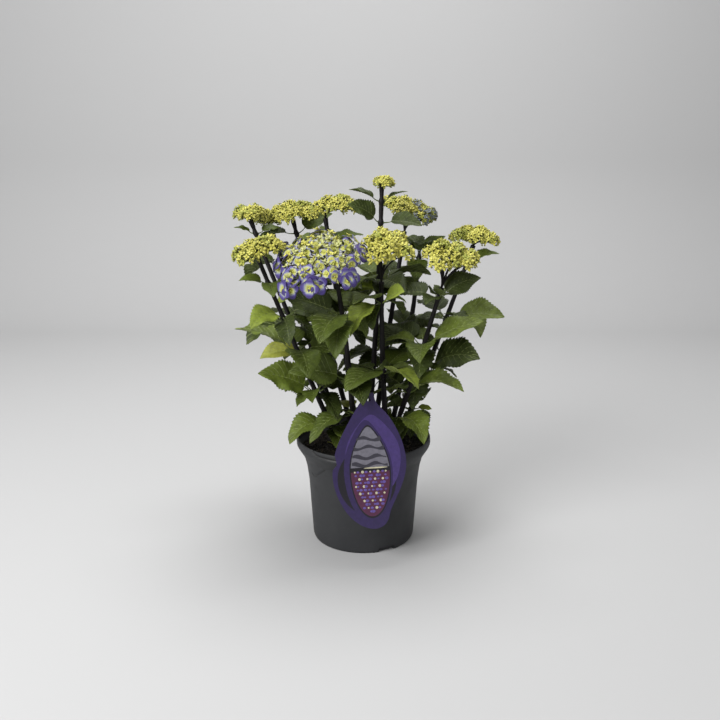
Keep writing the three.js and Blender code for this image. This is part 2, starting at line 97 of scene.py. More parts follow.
# cane, height, leaves (turn, rise, droop, length, roll) and the number of side leaves
WHORLS = [
    ("left_front", 199, [(209, 22, 94, 72, -18), (288, -5, 55, 58, 0)], 1),
    ("left_front", 264, [(203, 34, 28, 86, -48), (238, 0, 40, 42, 0), (30, 20, 50, 70, 20)], 2),
    ("left_front", 336, [(185, 33, 30, 88, -8), (8, 12, 50, 72, 30)], 2),
    ("left_front", 397, [(232, 22, 75, 62, -25), (14, 25, 45, 66, 35)], 0),
    ("left_front", 454, [(208, 24, 40, 38, -38), (272, 0, 40, 44, 0), (-8, 15, 30, 42, 25)], 0),
    ("left_back", 313, [(186, 15, 50, 64, -30), (20, 20, 50, 70, 20)], 3),
    ("left_back", 520, [(197, 30, 30, 28, -20), (20, 25, 35, 32, 20)], 0),
    ("left_rear", 351, [(130, 25, 55, 84, 0), (300, 10, 50, 76, 0)], 3),
    ("left_rear", 458, [(85, 25, 50, 66, 0), (200, 20, 45, 60, -20)], 2),
    ("back_left", 356, [(95, 20, 55, 84, 0), (265, 20, 50, 70, 0)], 4),
    ("back_left", 513, [(201, 55, 30, 52, -52), (-8, 38, 28, 58, 45), (176, 0, 25, 58, -15)], 0),
    ("back_centre", 421, [(95, 20, 50, 84, 0), (255, 10, 45, 70, 0)], 4),
    ("back_centre", 508, [(5, 20, 30, 46, 20), (185, 10, 30, 44, -20)], 1),
    ("crown", 446, [(120, 25, 50, 80, 0), (-60, 10, 50, 66, 20)], 4),
    ("crown", 543, [(203, 44, 40, 52, -60), (-9, 2, 20, 52, 28)], 0),
    ("crown", 577, [(186, 30, 25, 43, -16), (-7, 34, 30, 34, 12)], 0),
    ("back_right", 306, [(100, 20, 55, 84, 0), (-20, 15, 50, 72, 20)], 4),
    ("back_right", 431, [(80, 25, 50, 80, 0), (165, 20, 45, 70, 0)], 3),
    ("back_shoot", 341, [(50, 25, 50, 84, 0), (230, 10, 50, 72, 0)], 3),
    ("back_shoot", 472, [(-17, 52, 25, 48, 50), (163, 20, 40, 44, -20), (262, -20, 40, 54, 0)], 0),
    ("far_right", 221, [(248, -5, 55, 56, 0), (-46, 8, 20, 24, 0), (120, 10, 60, 60, 0)], 0),
    ("far_right", 284, [(-17, 42, 55, 98, 30), (204, 33, 38, 78, -38), (30, 20, 20, 26, 0)], 0),
    ("far_right", 374, [(-29, 14, 22, 84, 25), (140, 25, 45, 78, -10)], 1),
    ("far_right", 472, [(2, 20, 25, 42, 28), (176, 20, 25, 36, -15)], 0),
    ("right_front", 212, [(-37, 20, 92, 74, 8), (258, 8, 50, 48, 0)], 0),
    ("right_front", 263, [(-13, 33, 60, 92, 16), (165, 20, 45, 78, -20)], 1),
    ("right_front", 346, [(-16, 35, 24, 86, 14), (160, 15, 45, 76, -20)], 2),
    ("right_front", 428, [(2, 42, 40, 60, 48), (150, 10, 35, 72, -30)], 0),
    ("centre_front", 302, [(-56, 15, 50, 78, -12), (150, 10, 45, 62, 0)], 4),
    ("centre_front", 422, [(-36, 32, 25, 56, 50), (222, -15, 60, 68, 0)], 2),
    ("centre_left", 227, [(-84, 34, 40, 36, 0), (150, 20, 60, 60, 0)], 2),
    ("centre_left", 291, [(197, 22, 30, 84, -42), (30, 15, 50, 68, 20)], 3),
    ("centre_left", 402, [(-74, -20, 55, 72, 0), (174, 25, 20, 78, -55)], 2),
]
SIDE_SEED, SIDE_TURN = 11, (-30, 30)
SIDE_RISE, SIDE_DROOP, SIDE_LENGTH, SIDE_ROLL = (-5, 30), (40, 70), (62, 96), (-16, 16)
TURNS = (0, 12, -12, 24, -24, 38, -38)
LIFTS = (0, 14, -14)
SIZES = (1, 0.8)
ALONG, ACROSS, LEAF_REACH, LIMB_REACH, RIM_REACH = 12, 3, 6.5, 3.2, 4
LIMB_STEP = 0.012                    # along a cane's curve, from one point of its room to the next

CARD_THICK, CARD_FOOT, CARD_LEAN, CARD_ROLL = 1, (6, -114.9, POT_HEIGHT), 12.2, 3.6
CARD_HOLE, CARD_HOLE_RADIUS = (8.2, 93.4), 2.6
LOOP_RADIUS, LOOP_HEIGHT = 0.7, 297

# ---- small helpers ----

UP = np.array([0.0, 0.0, 1.0])


def cosd(angle):
    return np.cos(np.radians(angle))


def sind(angle):
    return np.sin(np.radians(angle))


def unit(vectors):
    """Vectors divided by their lengths."""
    return vectors / np.linalg.norm(vectors, axis=-1, keepdims=True)


def turned(vector, axis, angle):
    """A vector turned about a unit axis: its part along the axis stays, and the rest turns in its plane."""
    along = axis * (vector @ axis)
    return along + (vector - along) * cosd(angle) + np.cross(axis, vector) * sind(angle)


def around(radius, a, z):
    """Points at a radius and a turn in degrees about the upright axis, at a height."""
    return np.stack(np.broadcast_arrays(radius * cosd(a), radius * sind(a), z), -1)


def full_turn(count):
    """Even steps of one turn, in radians."""
    return np.linspace(0, 2 * np.pi, count, endpoint=False)


def ripple(points, size, seed, waves=7):
    """Smooth unevenness between about -1 and 1: a sum of sine waves of one length that run every way."""
    lot = np.random.default_rng(seed)
    ways = unit(lot.normal(size=(waves, 3))) * (2 * np.pi / size) * lot.uniform(0.7, 1.4, (waves, 1))
    return np.sin(points @ ways.T + lot.uniform(0, 2 * np.pi, waves)).sum(-1) / waves ** 0.5 / 1.2


# ---- meshes ----


class Batch:
    """Surfaces that are joined into one piece, each face with the number of its finish."""

    def __init__(self):
        self.points, self.corners, self.sizes, self.paints, self.count = [], [], [], [], 0

    def add(self, points, faces, paint=0):
        points = np.asarray(points, float).reshape(-1, 3)
        for shape in faces:
            self.corners.append(shape.ravel() + self.count)
            self.sizes.append(np.full(len(shape), shape.shape[1]))
        self.paints.append(np.broadcast_to(paint, sum(len(shape) for shape in faces)))
        self.points.append(points)
        self.count += len(points)

    def piece(self, name, finishes, slot, smooth=True):
        """The joined mesh as an object at the origin that rides with the plant."""
        mesh = bpy.data.meshes.new(name)
        corners = np.concatenate(self.corners).astype(np.int32)
        sizes = np.concatenate(self.sizes)
        mesh.vertices.add(self.count)
        mesh.vertices.foreach_set("co", (np.concatenate(self.points) * MM).ravel())
        mesh.loops.add(len(corners))
        mesh.loops.foreach_set("vertex_index", corners)
        mesh.polygons.add(len(sizes))
        mesh.polygons.foreach_set("loop_start", np.cumsum(sizes) - sizes)
        mesh.polygons.foreach_set("material_index", np.concatenate(self.paints).astype(np.int32))
        mesh.polygons.foreach_set("use_smooth", np.full(len(sizes), smooth))
        for finish in finishes:
            mesh.materials.append(finish)
        mesh.update(calc_edges=True)
        made = bpy.data.objects.new(name, mesh)
        bpy.context.scene.collection.objects.link(made)
        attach(made, "root")
        return made


def lattice(rows, columns, wrapped=True):
    """The quads of a grid whose rows may close on themselves."""
    k = np.arange(rows - 1)[:, None] * columns
    i = np.arange(columns if wrapped else columns - 1)[None, :]
    j = (i + 1) % columns
    return np.stack([k + i, k + j, k + j + columns, k + i + columns], -1).reshape(-1, 4)


def loft(rings):
    """Rings (rows, n, 3) joined side by side and closed at both ends by a fan on the ring's middle."""
    rows, n, _ = rings.shape
    points = np.concatenate([rings.reshape(-1, 3), rings[:1].mean(1), rings[-1:].mean(1)])
    i = np.arange(n)
    j = (i + 1) % n
    last = (rows - 1) * n
    low = np.stack([np.full(n, rows * n), j, i], -1)
    high = np.stack([np.full(n, rows * n + 1), last + i, last + j], -1)
    return points, [lattice(rows, n), np.concatenate([low, high])]


def outward(points, faces):
    """The same closed surface with its faces turned outwards, which its signed volume tells."""
    volume = 0.0
    for shape in faces:
        for k in range(1, shape.shape[1] - 1):
            a, b, c = points[shape[:, 0]], points[shape[:, k]], points[shape[:, k + 1]]
            volume += (a * np.cross(b, c)).sum()
    return faces if volume > 0 else [shape[:, ::-1] for shape in faces]


def shell(rings):
    """A closed loft with its faces outwards."""
    points, faces = loft(rings)
    return points, outward(points, faces)


STEEP = 0.9                          # a path's rise from which it counts as upright


def tube(path, radii, sides, squash=1.0):
    """A round limb along a path: rings across it, kept from twisting by one fixed sideways direction."""
    along = unit(np.gradient(path, axis=0))
    hint = np.where(np.abs(along.mean(0) @ UP) > STEEP, np.array([1.0, 0, 0]), UP)
    side = unit(np.cross(along, hint))
    over = np.cross(side, along)
    a = full_turn(sides)[None, :, None]
    radii = np.broadcast_to(radii, len(path))[:, None, None]
    rings = path[:, None] + radii * (side[:, None] * np.cos(a) + over[:, None] * squash * np.sin(a))
    return shell(rings)


def bow(a, b, c, t):
    """A quadratic curve from a to c that is pulled towards b."""
    t = np.asarray(t, float)[..., None]
    return (1 - t) ** 2 * np.asarray(a) + 2 * t * (1 - t) * np.asarray(b) + t ** 2 * np.asarray(c)


def scatter(template, places, frames, sizes):
    """Copies of a small template (points, faces): each is scaled, turned by its frame's rows and placed."""
    points, faces = template
    moved = np.einsum("pk,nkx->npx", points, frames) * np.asarray(sizes)[:, None, None] + places[:, None]
    steps = np.arange(len(places))[:, None, None] * len(points)
    return moved, [(shape[None] + steps).reshape(-1, shape.shape[1]) for shape in faces]


def dealt(tones, template):
    """Each copy's tone, repeated for its faces in the order in which scatter gives them."""
    return np.concatenate([np.repeat(tones, len(shape)) for shape in template[1]])


# ---- canes ----


class Cane:
    """One cane: its curve, its thickness and the heights of its nodes."""

    def __init__(self, name):
        (x, y), bend, tip = CANES[name]
        self.foot, self.bend, self.tip = (x, y, GROUND), bend, tip

    def at(self, t):
        return bow(self.foot, self.bend, self.tip, t)

    def heading(self, t):
        step = 0.0001
        return unit(self.at(min(1.0, t + step)) - self.at(max(0.0, t - step)))

    def radius(self, t):
        rise = self.at(t)[..., 2] - GROUND
        return CANE_FOOT + (CANE_TIP - CANE_FOOT) * t + CANE_FLARE * np.exp(-rise / FLARE_HEIGHT)

    def where(self, height):
        """The place on the curve at a height, found by halving."""
        low, high = 0.0, 1.0
        for _ in range(30):
            t = (low + high) / 2
            low, high = (t, high) if self.at(t)[2] < height else (low, t)
        return low


canes = {name: Cane(name) for name in CANES}

# ---- flower heads ----


def spray_size(name):
    return (OPEN_PITCH, OPEN_RADIUS) if name == OPEN_HEAD else (SPRAY_PITCH, SPRAY_RADIUS)


def head_axes(name):
    """A head's axes: across it, back over it and up through it."""
    _, _, tilt, turn = HEADS[name]
    axis = turned(UP, np.array([-sind(turn), cosd(turn), 0.0]), tilt)
    across = unit(np.array([1.0, 0, 0]) - axis * axis[0])
    return across, np.cross(axis, across), axis


def head_sprays(name):
    """The places of a head's sprays: a sunflower spiral on a shallow, tilted dome."""
    centre, width, _, _ = HEADS[name]
    pitch, radius = spray_size(name)
    across, back, axis = head_axes(name)
    edge = width / 2 - 0.7 * radius
    count = max(4, math.floor(math.pi * edge * edge / (0.8 * pitch * pitch) + 0.5))
    k = np.arange(count)
    out = np.sqrt((k + 0.5) / count)[:, None]
    a = k[:, None] * GOLDEN_TURN
    lift = HEAD_DOME * width * (0.5 - out * out)
    return np.asarray(centre) + edge * out * (across * cosd(a) + back * sind(a)) + axis * lift


def head_fork(name):
    cane = canes[name]
    return cane.at(1.0) + cane.heading(1.0) * HEAD_STEM


# ---- room: each leaf keeps clear of what already stands ----


class Room:
    """Points that are taken, each with its reach."""

    def __init__(self):
        self.points, self.reaches = np.zeros((0, 3)), np.zeros(0)

    def claim(self, points, reach):
        points = np.asarray(points, float).reshape(-1, 3)
        self.points = np.concatenate([self.points, points])
        self.reaches = np.concatenate([self.reaches, np.broadcast_to(reach, len(points))])

    def near(self, centre, reach):
        """The part of the room around one place."""
        kept = ((self.points - centre) ** 2).sum(-1) < (reach + self.reaches) ** 2
        part = Room()
        part.points, part.reaches = self.points[kept], self.reaches[kept]
        return part

    def blocks(self, points):
        """True if a point is at the pot's rim, in the compost, or within the reach of a taken one."""
        out = np.hypot(points[:, 0], points[:, 1])
        low = points[:, 2] < POT_HEIGHT + RIM_REACH
        ring = (out > POT_BODY[4][1] - 2 * RIM_REACH) & (out < POT_BODY[5][1] + RIM_REACH)
        buried = (points[:, 2] < SOIL_TOP + RIM_REACH) & (out < RIM_RADIUS)
        if (low & ring).any() or buried.any():
            return True
        away = ((points[:, None] - self.points[None]) ** 2).sum(-1)
        return bool((away < self.reaches ** 2).any())


def claim_limbs(room):
    for cane in canes.values():
        t = np.cumsum(np.full(84, LIMB_STEP)) - LIMB_STEP
        room.claim(cane.at(t), cane.radius(t) + LIMB_REACH)
    for name in HEADS:
        fork = head_fork(name)
        for place in head_sprays(name):
            room.claim(place, spray_size(name)[1] + 1)
            for t in (0.2, 0.45, 0.7):
                room.claim(fork + (place - fork) * t, LEAF_REACH)


# ---- card and loop: their frame ----


def on_card(x, y, z):
    """A place on the card (x across, y up along it, z out of its face) in the plant's frame."""
    x, y, z = np.broadcast_arrays(*(np.asarray(v, float) for v in (x, y, z)))
    over, along = x * cosd(CARD_ROLL) - y * sind(CARD_ROLL), x * sind(CARD_ROLL) + y * cosd(CARD_ROLL)
    tip = 90 - CARD_LEAN
    back, height = along * cosd(tip) - z * sind(tip), along * sind(tip) + z * cosd(tip)
    return np.stack([over, back, height], -1) + np.asarray(CARD_FOOT)


def closed_curve(knots, t):
    """A smooth closed curve through its knots: cubic pieces whose slopes follow the roots of the spans."""
    knots = np.asarray(knots, float)
    n = len(knots)
    p = n * np.asarray(t, float)
    k = np.floor(p).astype(int)
    w = (p - k)[:, None]
    a, b, c, d = (knots[(k + step) % n] for step in (-1, 0, 1, 2))
    span = [np.sqrt(np.linalg.norm(v, axis=-1, keepdims=True)) for v in (b - a, c - b, d - c)]
    leave = ((b - a) / span[0] - (c - a) / (span[0] + span[1]) + (c - b) / span[1]) * span[1]
    reach = ((c - b) / span[1] - (d - b) / (span[1] + span[2]) + (d - c) / span[2]) * span[1]
    square = -3 * b + 3 * c - 2 * leave - reach
    cube = 2 * b - 2 * c + leave + reach
    return b + leave * w + square * w ** 2 + cube * w ** 3


def loop_knots():
    """The loop goes through the hole from behind, over the card's top edge and round the middle cane."""
    cane = canes["centre_front"]
    t = cane.where(LOOP_HEIGHT)
    hub = cane.at(t)
    close = cane.radius(t) + LOOP_RADIUS + 2 * GAP
    x, y = CARD_HOLE

    def at_cane(turn, out, drop=0):
        return hub + around(out, turn, -drop)

    return [
        on_card(x, y, 0.5 * CARD_THICK), on_card(x, y + 5, CARD_THICK + 2.2),
        on_card(x, 108.5, 0.5 * CARD_THICK), on_card(x + 3, 112, -14),
        at_cane(218, 3 * close, 1), at_cane(150, close + 1), at_cane(95, close), at_cane(35, close),
        at_cane(-28, close + 1, 1), at_cane(240, 3.6 * close, 7), on_card(x + 4, y + 6, -12),
    ]


def claim_card(room):
    for up in np.arange(-CARD_HOLE[1] - 16, 110, 9):
        for over in range(-54, 61, 9):
            if math.hypot(over / 62, up / 112) < 1:
                room.claim(on_card(over, up, 0), LEAF_REACH + 1)


# ---- leaves ----

FULL_GRID, SMALL_GRID = (51, 6), (36, 4)     # rows, and columns of each half, of a blade's mesh


class Leaf:
    """A leaf's stalk and blade. The midrib is an arc that starts at the rise and bends down by the droop,
    and the two halves fold up from it and curl back at the edge."""

    def __init__(self, root, wish, lift):
        turn, rise, droop, self.length, self.roll = wish
        self.root = root
        self.out = around(1, turn, 0)
        self.level = np.array([-self.out[1], self.out[0], 0.0])
        climb = rise + 12 + lift
        self.start = root + STALK * self.length * (self.out * cosd(climb) + UP * sind(climb))
        self.first, self.bend = np.radians(rise + lift), np.radians(droop)

    def half(self, t):
        return HALF_WIDTH * self.length * 2.75 * np.sqrt(t) * (1 - t) ** 1.1

    def at(self, t, s, over=0.0, spread=1.0):
        """The blade at t along the midrib and s across it, raised by over and widened by spread."""
        t, s, over, spread = (v[..., None] for v in np.broadcast_arrays(t, s, over, spread))
        now = self.first - self.bend * t
        reach = self.length * (np.sin(self.first) - np.sin(now)) / self.bend
        climb = self.length * (np.cos(now) - np.cos(self.first)) / self.bend
        up = UP * np.cos(now) - self.out * np.sin(now)
        side = self.level * cosd(self.roll) + up * sind(self.roll)
        face = up * cosd(self.roll) - self.level * sind(self.roll)
        half = self.half(t) * spread
        wing = np.abs(s)
        raised = half * (wing * sind(FOLD) - 0.12 * wing * wing) + over
        return self.start + self.out * reach + UP * climb + side * s * half * cosd(FOLD) + face * raised

    def hung(self, hub, hub_radius, key=None, grid=FULL_GRID):
        """The same leaf with the node that carries it, its key among the solids' leaves and its mesh's grid."""
        self.hub, self.hub_radius, self.key = hub, hub_radius, key
        self.rows, self.columns = grid
        return self

    def samples(self):
        t = np.repeat(np.arange(1, ALONG + 1) / ALONG, 2 * ACROSS + 1)
        s = np.tile(np.arange(-ACROSS, ACROSS + 1) / ACROSS, ALONG)
        return self.at(t, s)


def settle(room, centre, wish, spread):
    """The first way round, lift and size in which a leaf stands clear."""
    turn, rise, droop, length, roll = wish
    nearby = room.near(centre, 1.3 * length + spread)
    for size in SIZES:
        for lift in LIFTS:
            for aside in TURNS:
                way = turn + aside
                leaf = Leaf(centre + around(spread, way, 0), (way, rise, droop, length * size, roll), lift)
                if not nearby.blocks(leaf.samples()):
                    return leaf
    return None


class Whorl:
    """A node of a cane and the leaves that it carries."""

    def __init__(self, cane_name, height, number):
        cane = canes[cane_name]
        t = cane.where(height)
        self.cane, self.node = cane_name, f"leaves_{cane_name}_{number}"
        self.centre, self.radius, self.leaves = cane.at(t), cane.radius(t), []

    def grow(self, room, wish, order):
        leaf = settle(room, self.centre, wish, self.radius + SPREAD)
        if leaf:
            self.leaves.append(leaf.hung(self.centre, self.radius, (self.node, order)))
            room.claim(leaf.samples(), LEAF_REACH)


def grow_whorls():
    """Every leaf's place: the leading leaves first, and then the side leaves by a seeded lot."""
    room = Room()
    claim_limbs(room)
    claim_card(room)
    room.claim(closed_curve(loop_knots(), np.arange(41) / 40), LEAF_REACH)
    number, whorls = {}, []
    for cane_name, height, _, _ in WHORLS:
        number[cane_name] = number.get(cane_name, 0) + 1
        whorls.append(Whorl(cane_name, height, number[cane_name]))
    for whorl, row in zip(whorls, WHORLS):
        for order, wish in enumerate(row[2]):
            whorl.grow(room, wish, order)
    draw = SIDE_SEED

    def between(low, high):
        nonlocal draw
        draw = (draw * 1664525 + 1013904223) % 4294967296
        return low + (high - low) * draw / 4294967296

    for whorl, row in zip(whorls, WHORLS):
        for k in range(row[3]):
            turn = row[2][0][0] + 90 + 180 * k + between(*SIDE_TURN)
            shape = [between(*span) for span in (SIDE_RISE, SIDE_DROOP, SIDE_LENGTH, SIDE_ROLL)]
            whorl.grow(room, (turn, *shape), len(row[2]) + k)
    return whorls, room


SHADE_TOP = 440                      # no shade leaves grow above this height
SHADE_TRIES = 4                      # at each node
SHADE_CLOSER, SHADE_CLOSEST = 2.8, 0.6       # how much nearer to others they may stand, and the nearest
# of a shade leaf: its turn from the way inward, rise, droop, length and roll
SHADE_SPANS = ((-95, 95), (-15, 40), (30, 90), (40, 74), (-35, 35))
# of the young leaves round the bud: turn, rise and length
BUD_LEAVES = ((20, 62, 38), (200, 66, 36), (110, 48, 50), (290, 50, 46))
BUD_DROOP, BUD_AT = 50, 0.985        # their droop, and their place along the cane


def grow_shade_leaves(whorls, room):
    """Small leaves of the side buds, which fill the shade between the canes, and those round the bud."""
    room.reaches = np.maximum(room.reaches - SHADE_CLOSER, SHADE_CLOSEST)
    small = []
    for whorl in whorls:
        inward = math.degrees(math.atan2(-whorl.centre[1], -whorl.centre[0]))
        for _ in range(SHADE_TRIES):
            turn, *shape = (lot.uniform(*span) for span in SHADE_SPANS)
            if whorl.centre[2] >= SHADE_TOP:
                continue
            leaf = settle(room, whorl.centre, (inward + turn, *shape), whorl.radius + SPREAD)
            if leaf:
                small.append(leaf.hung(whorl.centre, whorl.radius, grid=SMALL_GRID))
                room.claim(leaf.samples(), LEAF_REACH - SHADE_CLOSER)
    tip = canes[BARE_SHOOT].at(BUD_AT)
    for turn, rise, length in BUD_LEAVES:
        leaf = Leaf(tip - UP * 0.1 * length, (turn, rise, BUD_DROOP, length, 0), 0)
        small.append(leaf.hung(leaf.root, 1.0, grid=SMALL_GRID))
    return small


SEED = 20                            # of the one lot that deals out all that the solids leave open
lot = np.random.default_rng(SEED)
whorls, taken_room = grow_whorls()
shade_leaves = grow_shade_leaves(whorls, taken_room)


# ---- finishes ----


class Socket:
    """A shader value or colour that can be used in sums: each operator adds its Math node."""

    def __init__(self, finish, socket):
        self.finish, self.socket = finish, socket

    def _math(self, operation, other):
        return self.finish.node("ShaderNodeMath", {"operation": operation}, {0: self, 1: other})

    def __add__(self, other):
        return self._math("ADD", other)

    def __mul__(self, other):
        return self._math("MULTIPLY", other)

    __radd__, __rmul__ = __add__, __mul__

    def ramp(self, low, high):
        """0 below low, 1 above high, and a straight slope between them."""
        values = {"Value": self, "From Min": low, "From Max": high}
        return self.finish.node("ShaderNodeMapRange", {"data_type": "FLOAT", "clamp": True}, values)


def linear(colour):
    """A colour as the eye reads it, 0 to 255 a channel, as light."""
    c = np.asarray(colour, float) / 255
    return tuple(float(v) for v in np.where(c <= 0.04045, c / 12.92, ((c + 0.055) / 1.055) ** 2.4)) + (1.0,)


class Finish:
    """A material: one Principled shader and the nodes that vary it."""

    def __init__(self, name, colour, roughness, **constants):
        self.material = bpy.data.materials.new(name)
        self.material.use_nodes = True
        self.nodes, self.links = self.material.node_tree.nodes, self.material.node_tree.links
        self.shader = self.nodes["Principled BSDF"]
        self.put("Base Color", linear(colour))
        self.put("Roughness", roughness)
        for socket, value in constants.items():
            self.put(socket.replace("_", " "), value)
        self.place = self.node("ShaderNodeTexCoord", {}, {}, "Object")

    def put(self, name, value):
        """Sets or links one of the shader's sockets."""
        self._fill(self.shader.inputs[name], value)

    def _fill(self, socket, value):
        if isinstance(value, Socket):
            self.links.new(value.socket, socket)
        else:
            socket.default_value = value

    def node(self, kind, settings, values, output=0):
        """Any node: its settings first, then the values or links of its sockets."""
        made = self.nodes.new(kind)
        for setting, value in settings.items():
            setattr(made, setting, value)
        for socket, value in values.items():
            self._fill(made.inputs[socket], value)
        return Socket(self, made.outputs[output])

    def noise(self, size_mm, detail=2.0):
        """Uneven values about 0.5, with lumps of a size."""
        values = {"Vector": self.place, "Scale": 1000.0 / size_mm, "Detail": detail}
        return self.node("ShaderNodeTexNoise", {}, values)

    def cell_walls(self, size_mm):
        """The distance to the nearest wall between scattered cells."""
        values = {"Vector": self.place, "Scale": 1000.0 / size_mm}
        return self.node("ShaderNodeTexVoronoi", {"feature": "DISTANCE_TO_EDGE"}, values)

    def colour(self, mask, low, high):
        """The base colour: one colour or blend where the mask is 0, and the other where it is 1."""
        low, high = (side if isinstance(side, Socket) else linear(side) for side in (low, high))
        made = self.node("ShaderNodeMix", {"data_type": "RGBA"}, {0: mask, 6: low, 7: high}, 2)
        self.put("Base Color", made)
        return made

    def bump(self, height, depth_mm, strength=1.0):
        """Relief that is too fine for the mesh."""
        values = {"Height": height, "Distance": depth_mm * MM, "Strength": strength}
        self.put("Normal", self.node("ShaderNodeBump", {}, values))


def shade(colour, share):
    """The same hue, lighter or darker."""
    return tuple(min(255, channel * share) for channel in colour)


def mixed(low, high, share):
    """A colour between two others."""
    return tuple(a + (b - a) * share for a, b in zip(low, high))


def leaf_finish(name, colour, roughness):
    """A leaf's skin: fine veinlets in relief and a slightly uneven green."""
    finish = Finish(name, colour, roughness, Specular_IOR_Level=0.25)
    mottle = finish.noise(9, 3).ramp(0.3, 0.7)
    finish.colour(mottle, shade(colour, 0.86), shade(colour, 1.12))
    finish.bump(finish.cell_walls(2.2).ramp(0, 0.25), 0.25, 0.6)
    return finish.material


def bark_finish():
    """Near-black purple bark with a satin skin, paler fine streaks and corky specks."""
    dark, worn = (16, 12, 15), (40, 30, 31)
    finish = Finish("black_purple_bark", dark, 0.5, Specular_IOR_Level=0.28)
    specks = finish.noise(2.4, 4).ramp(0.58, 0.74)
    finish.colour(specks * 0.7, dark, worn)
    finish.put("Roughness", 0.42 + finish.noise(6) * 0.25)
    finish.bump(finish.noise(1.6, 4), 0.35, 0.8)
    return finish.material


def stem_finish(name, colour):
    """Smooth young stem, a little uneven in colour."""
    finish = Finish(name, colour, 0.5)
    finish.colour(finish.noise(12).ramp(0.35, 0.65), shade(colour, 0.75), colour)
    return finish.material


def petal_finish(name, colour):
    """A soft petal: one plain colour with a faint grain in its gloss."""
    finish = Finish(name, colour, 0.6, Sheen_Weight=0.08)
    finish.put("Roughness", 0.5 + finish.noise(3) * 0.2)
    return finish.material


def pot_finish():
    """Matte black-grey moulded plastic: fine grain, dusty patches and a few pale scuffs."""
    grey, dusty, scuffed = (42, 43, 45), (54, 55, 56), (92, 91, 88)
    finish = Finish("moulded_plastic", grey, 0.55, Specular_IOR_Level=0.4)
    dust = finish.noise(45, 4).ramp(0.35, 0.75)
    scuffs = finish.noise(3.2, 6).ramp(0.66, 0.78)
    finish.colour(scuffs * 0.35, finish.colour(dust * 0.5, grey, dusty), scuffed)
    finish.put("Roughness", 0.5 + finish.noise(20, 3) * 0.2)
    finish.bump(finish.noise(0.9, 3), 0.12, 0.5)
    return finish.material


def compost_finish(name, colour, light):
    """Damp peat: crumbs of near-black with paler fibres."""
    finish = Finish(name, colour, 0.85, Specular_IOR_Level=0.25)
    finish.colour(finish.noise(3, 6).ramp(0.5, 0.75), colour, light)
    finish.bump(finish.noise(1.5, 5), 1.0, 0.9)
    return finish.material


def card_finish(name, colour):
    """Printed card under a satin film, with a faint print grain."""
    finish = Finish(name, colour, 0.32, Coat_Weight=0.25, Coat_Roughness=0.25)
    finish.colour(finish.noise(5, 3).ramp(0.35, 0.65), shade(colour, 0.9), colour)
    return finish.material


# ---- pot and compost ----

POT_STEPS = 400                      # columns of the pot's wall all round
DRAINS, FIRST_DRAIN, DRAIN_WIDTH, DRAIN_HEIGHT, DRAIN_DEPTH = 2, -63, 30, 8, 7
NOTCH_SOFT = 1.2                     # over which a notch's edge fades
# the moulded lines' depth, width and radius, and the share of their depth beyond which faces take a near-black
# painted shade
SEAM_DEPTH, SEAM_WIDTH, SEAM_RADIUS, SEAM_SHADE_FROM = 2.3, 1.6, 108, 0.42
UNROUND, UNROUND_TURN = 0.0016, 40   # the wall is a little oval, as a warm moulding sets
# moulded lines of the wall: knots of turn (degrees) and height, as an open panel corner and a faint fold
SEAMS = [
    ([(-137, 181), (-136.2, 178), (-134.3, 175.6), (-131.2, 174), (-125, 173), (-117, 172.6),
      (-107, 172.4)], 1.0),
    ([(-152.5, 128.5), (-149.5, 125.4), (-145, 127), (-141, 131), (-133.6, 139.6), (-128.6, 147)], 0.4),
]


def distance_to_line(a, z, knots, reach):
    """The distance on the wall from (turn, height) to a broken line; reach turns degrees into millimetres."""
    best = np.full(np.broadcast(a, z).shape, 1e9)
    p = np.stack(np.broadcast_arrays(a * reach, z), -1)
    corners = np.array([(turn * reach, height) for turn, height in knots])
    for b, c in zip(corners[:-1], corners[1:]):
        span = c - b
        t = np.clip(((p - b) @ span) / (span @ span), 0, 1)
        best = np.minimum(best, np.linalg.norm(p - b - t[..., None] * span, axis=-1))
    return best


def spaced(profile, step):
    """A profile of (height, radius) filled in with points a step apart, which keeps its corners."""
    filled = [profile[0]]
    for (z0, r0), (z1, r1) in zip(profile[:-1], profile[1:]):
        n = max(1, round(math.hypot(z1 - z0, r1 - r0) / step))
        filled += [(z0 + (z1 - z0) * k / n, r0 + (r1 - r0) * k / n) for k in range(1, n + 1)]
    return np.array(filled)


def rounded(profile, step, times):
    """The same profile with its corners eased: each inner point moves to its neighbours' middle."""
    line = spaced(profile, step)
    for _ in range(times):
        line[1:-1] = 0.25 * line[:-2] + 0.5 * line[1:-1] + 0.25 * line[2:]
    return line


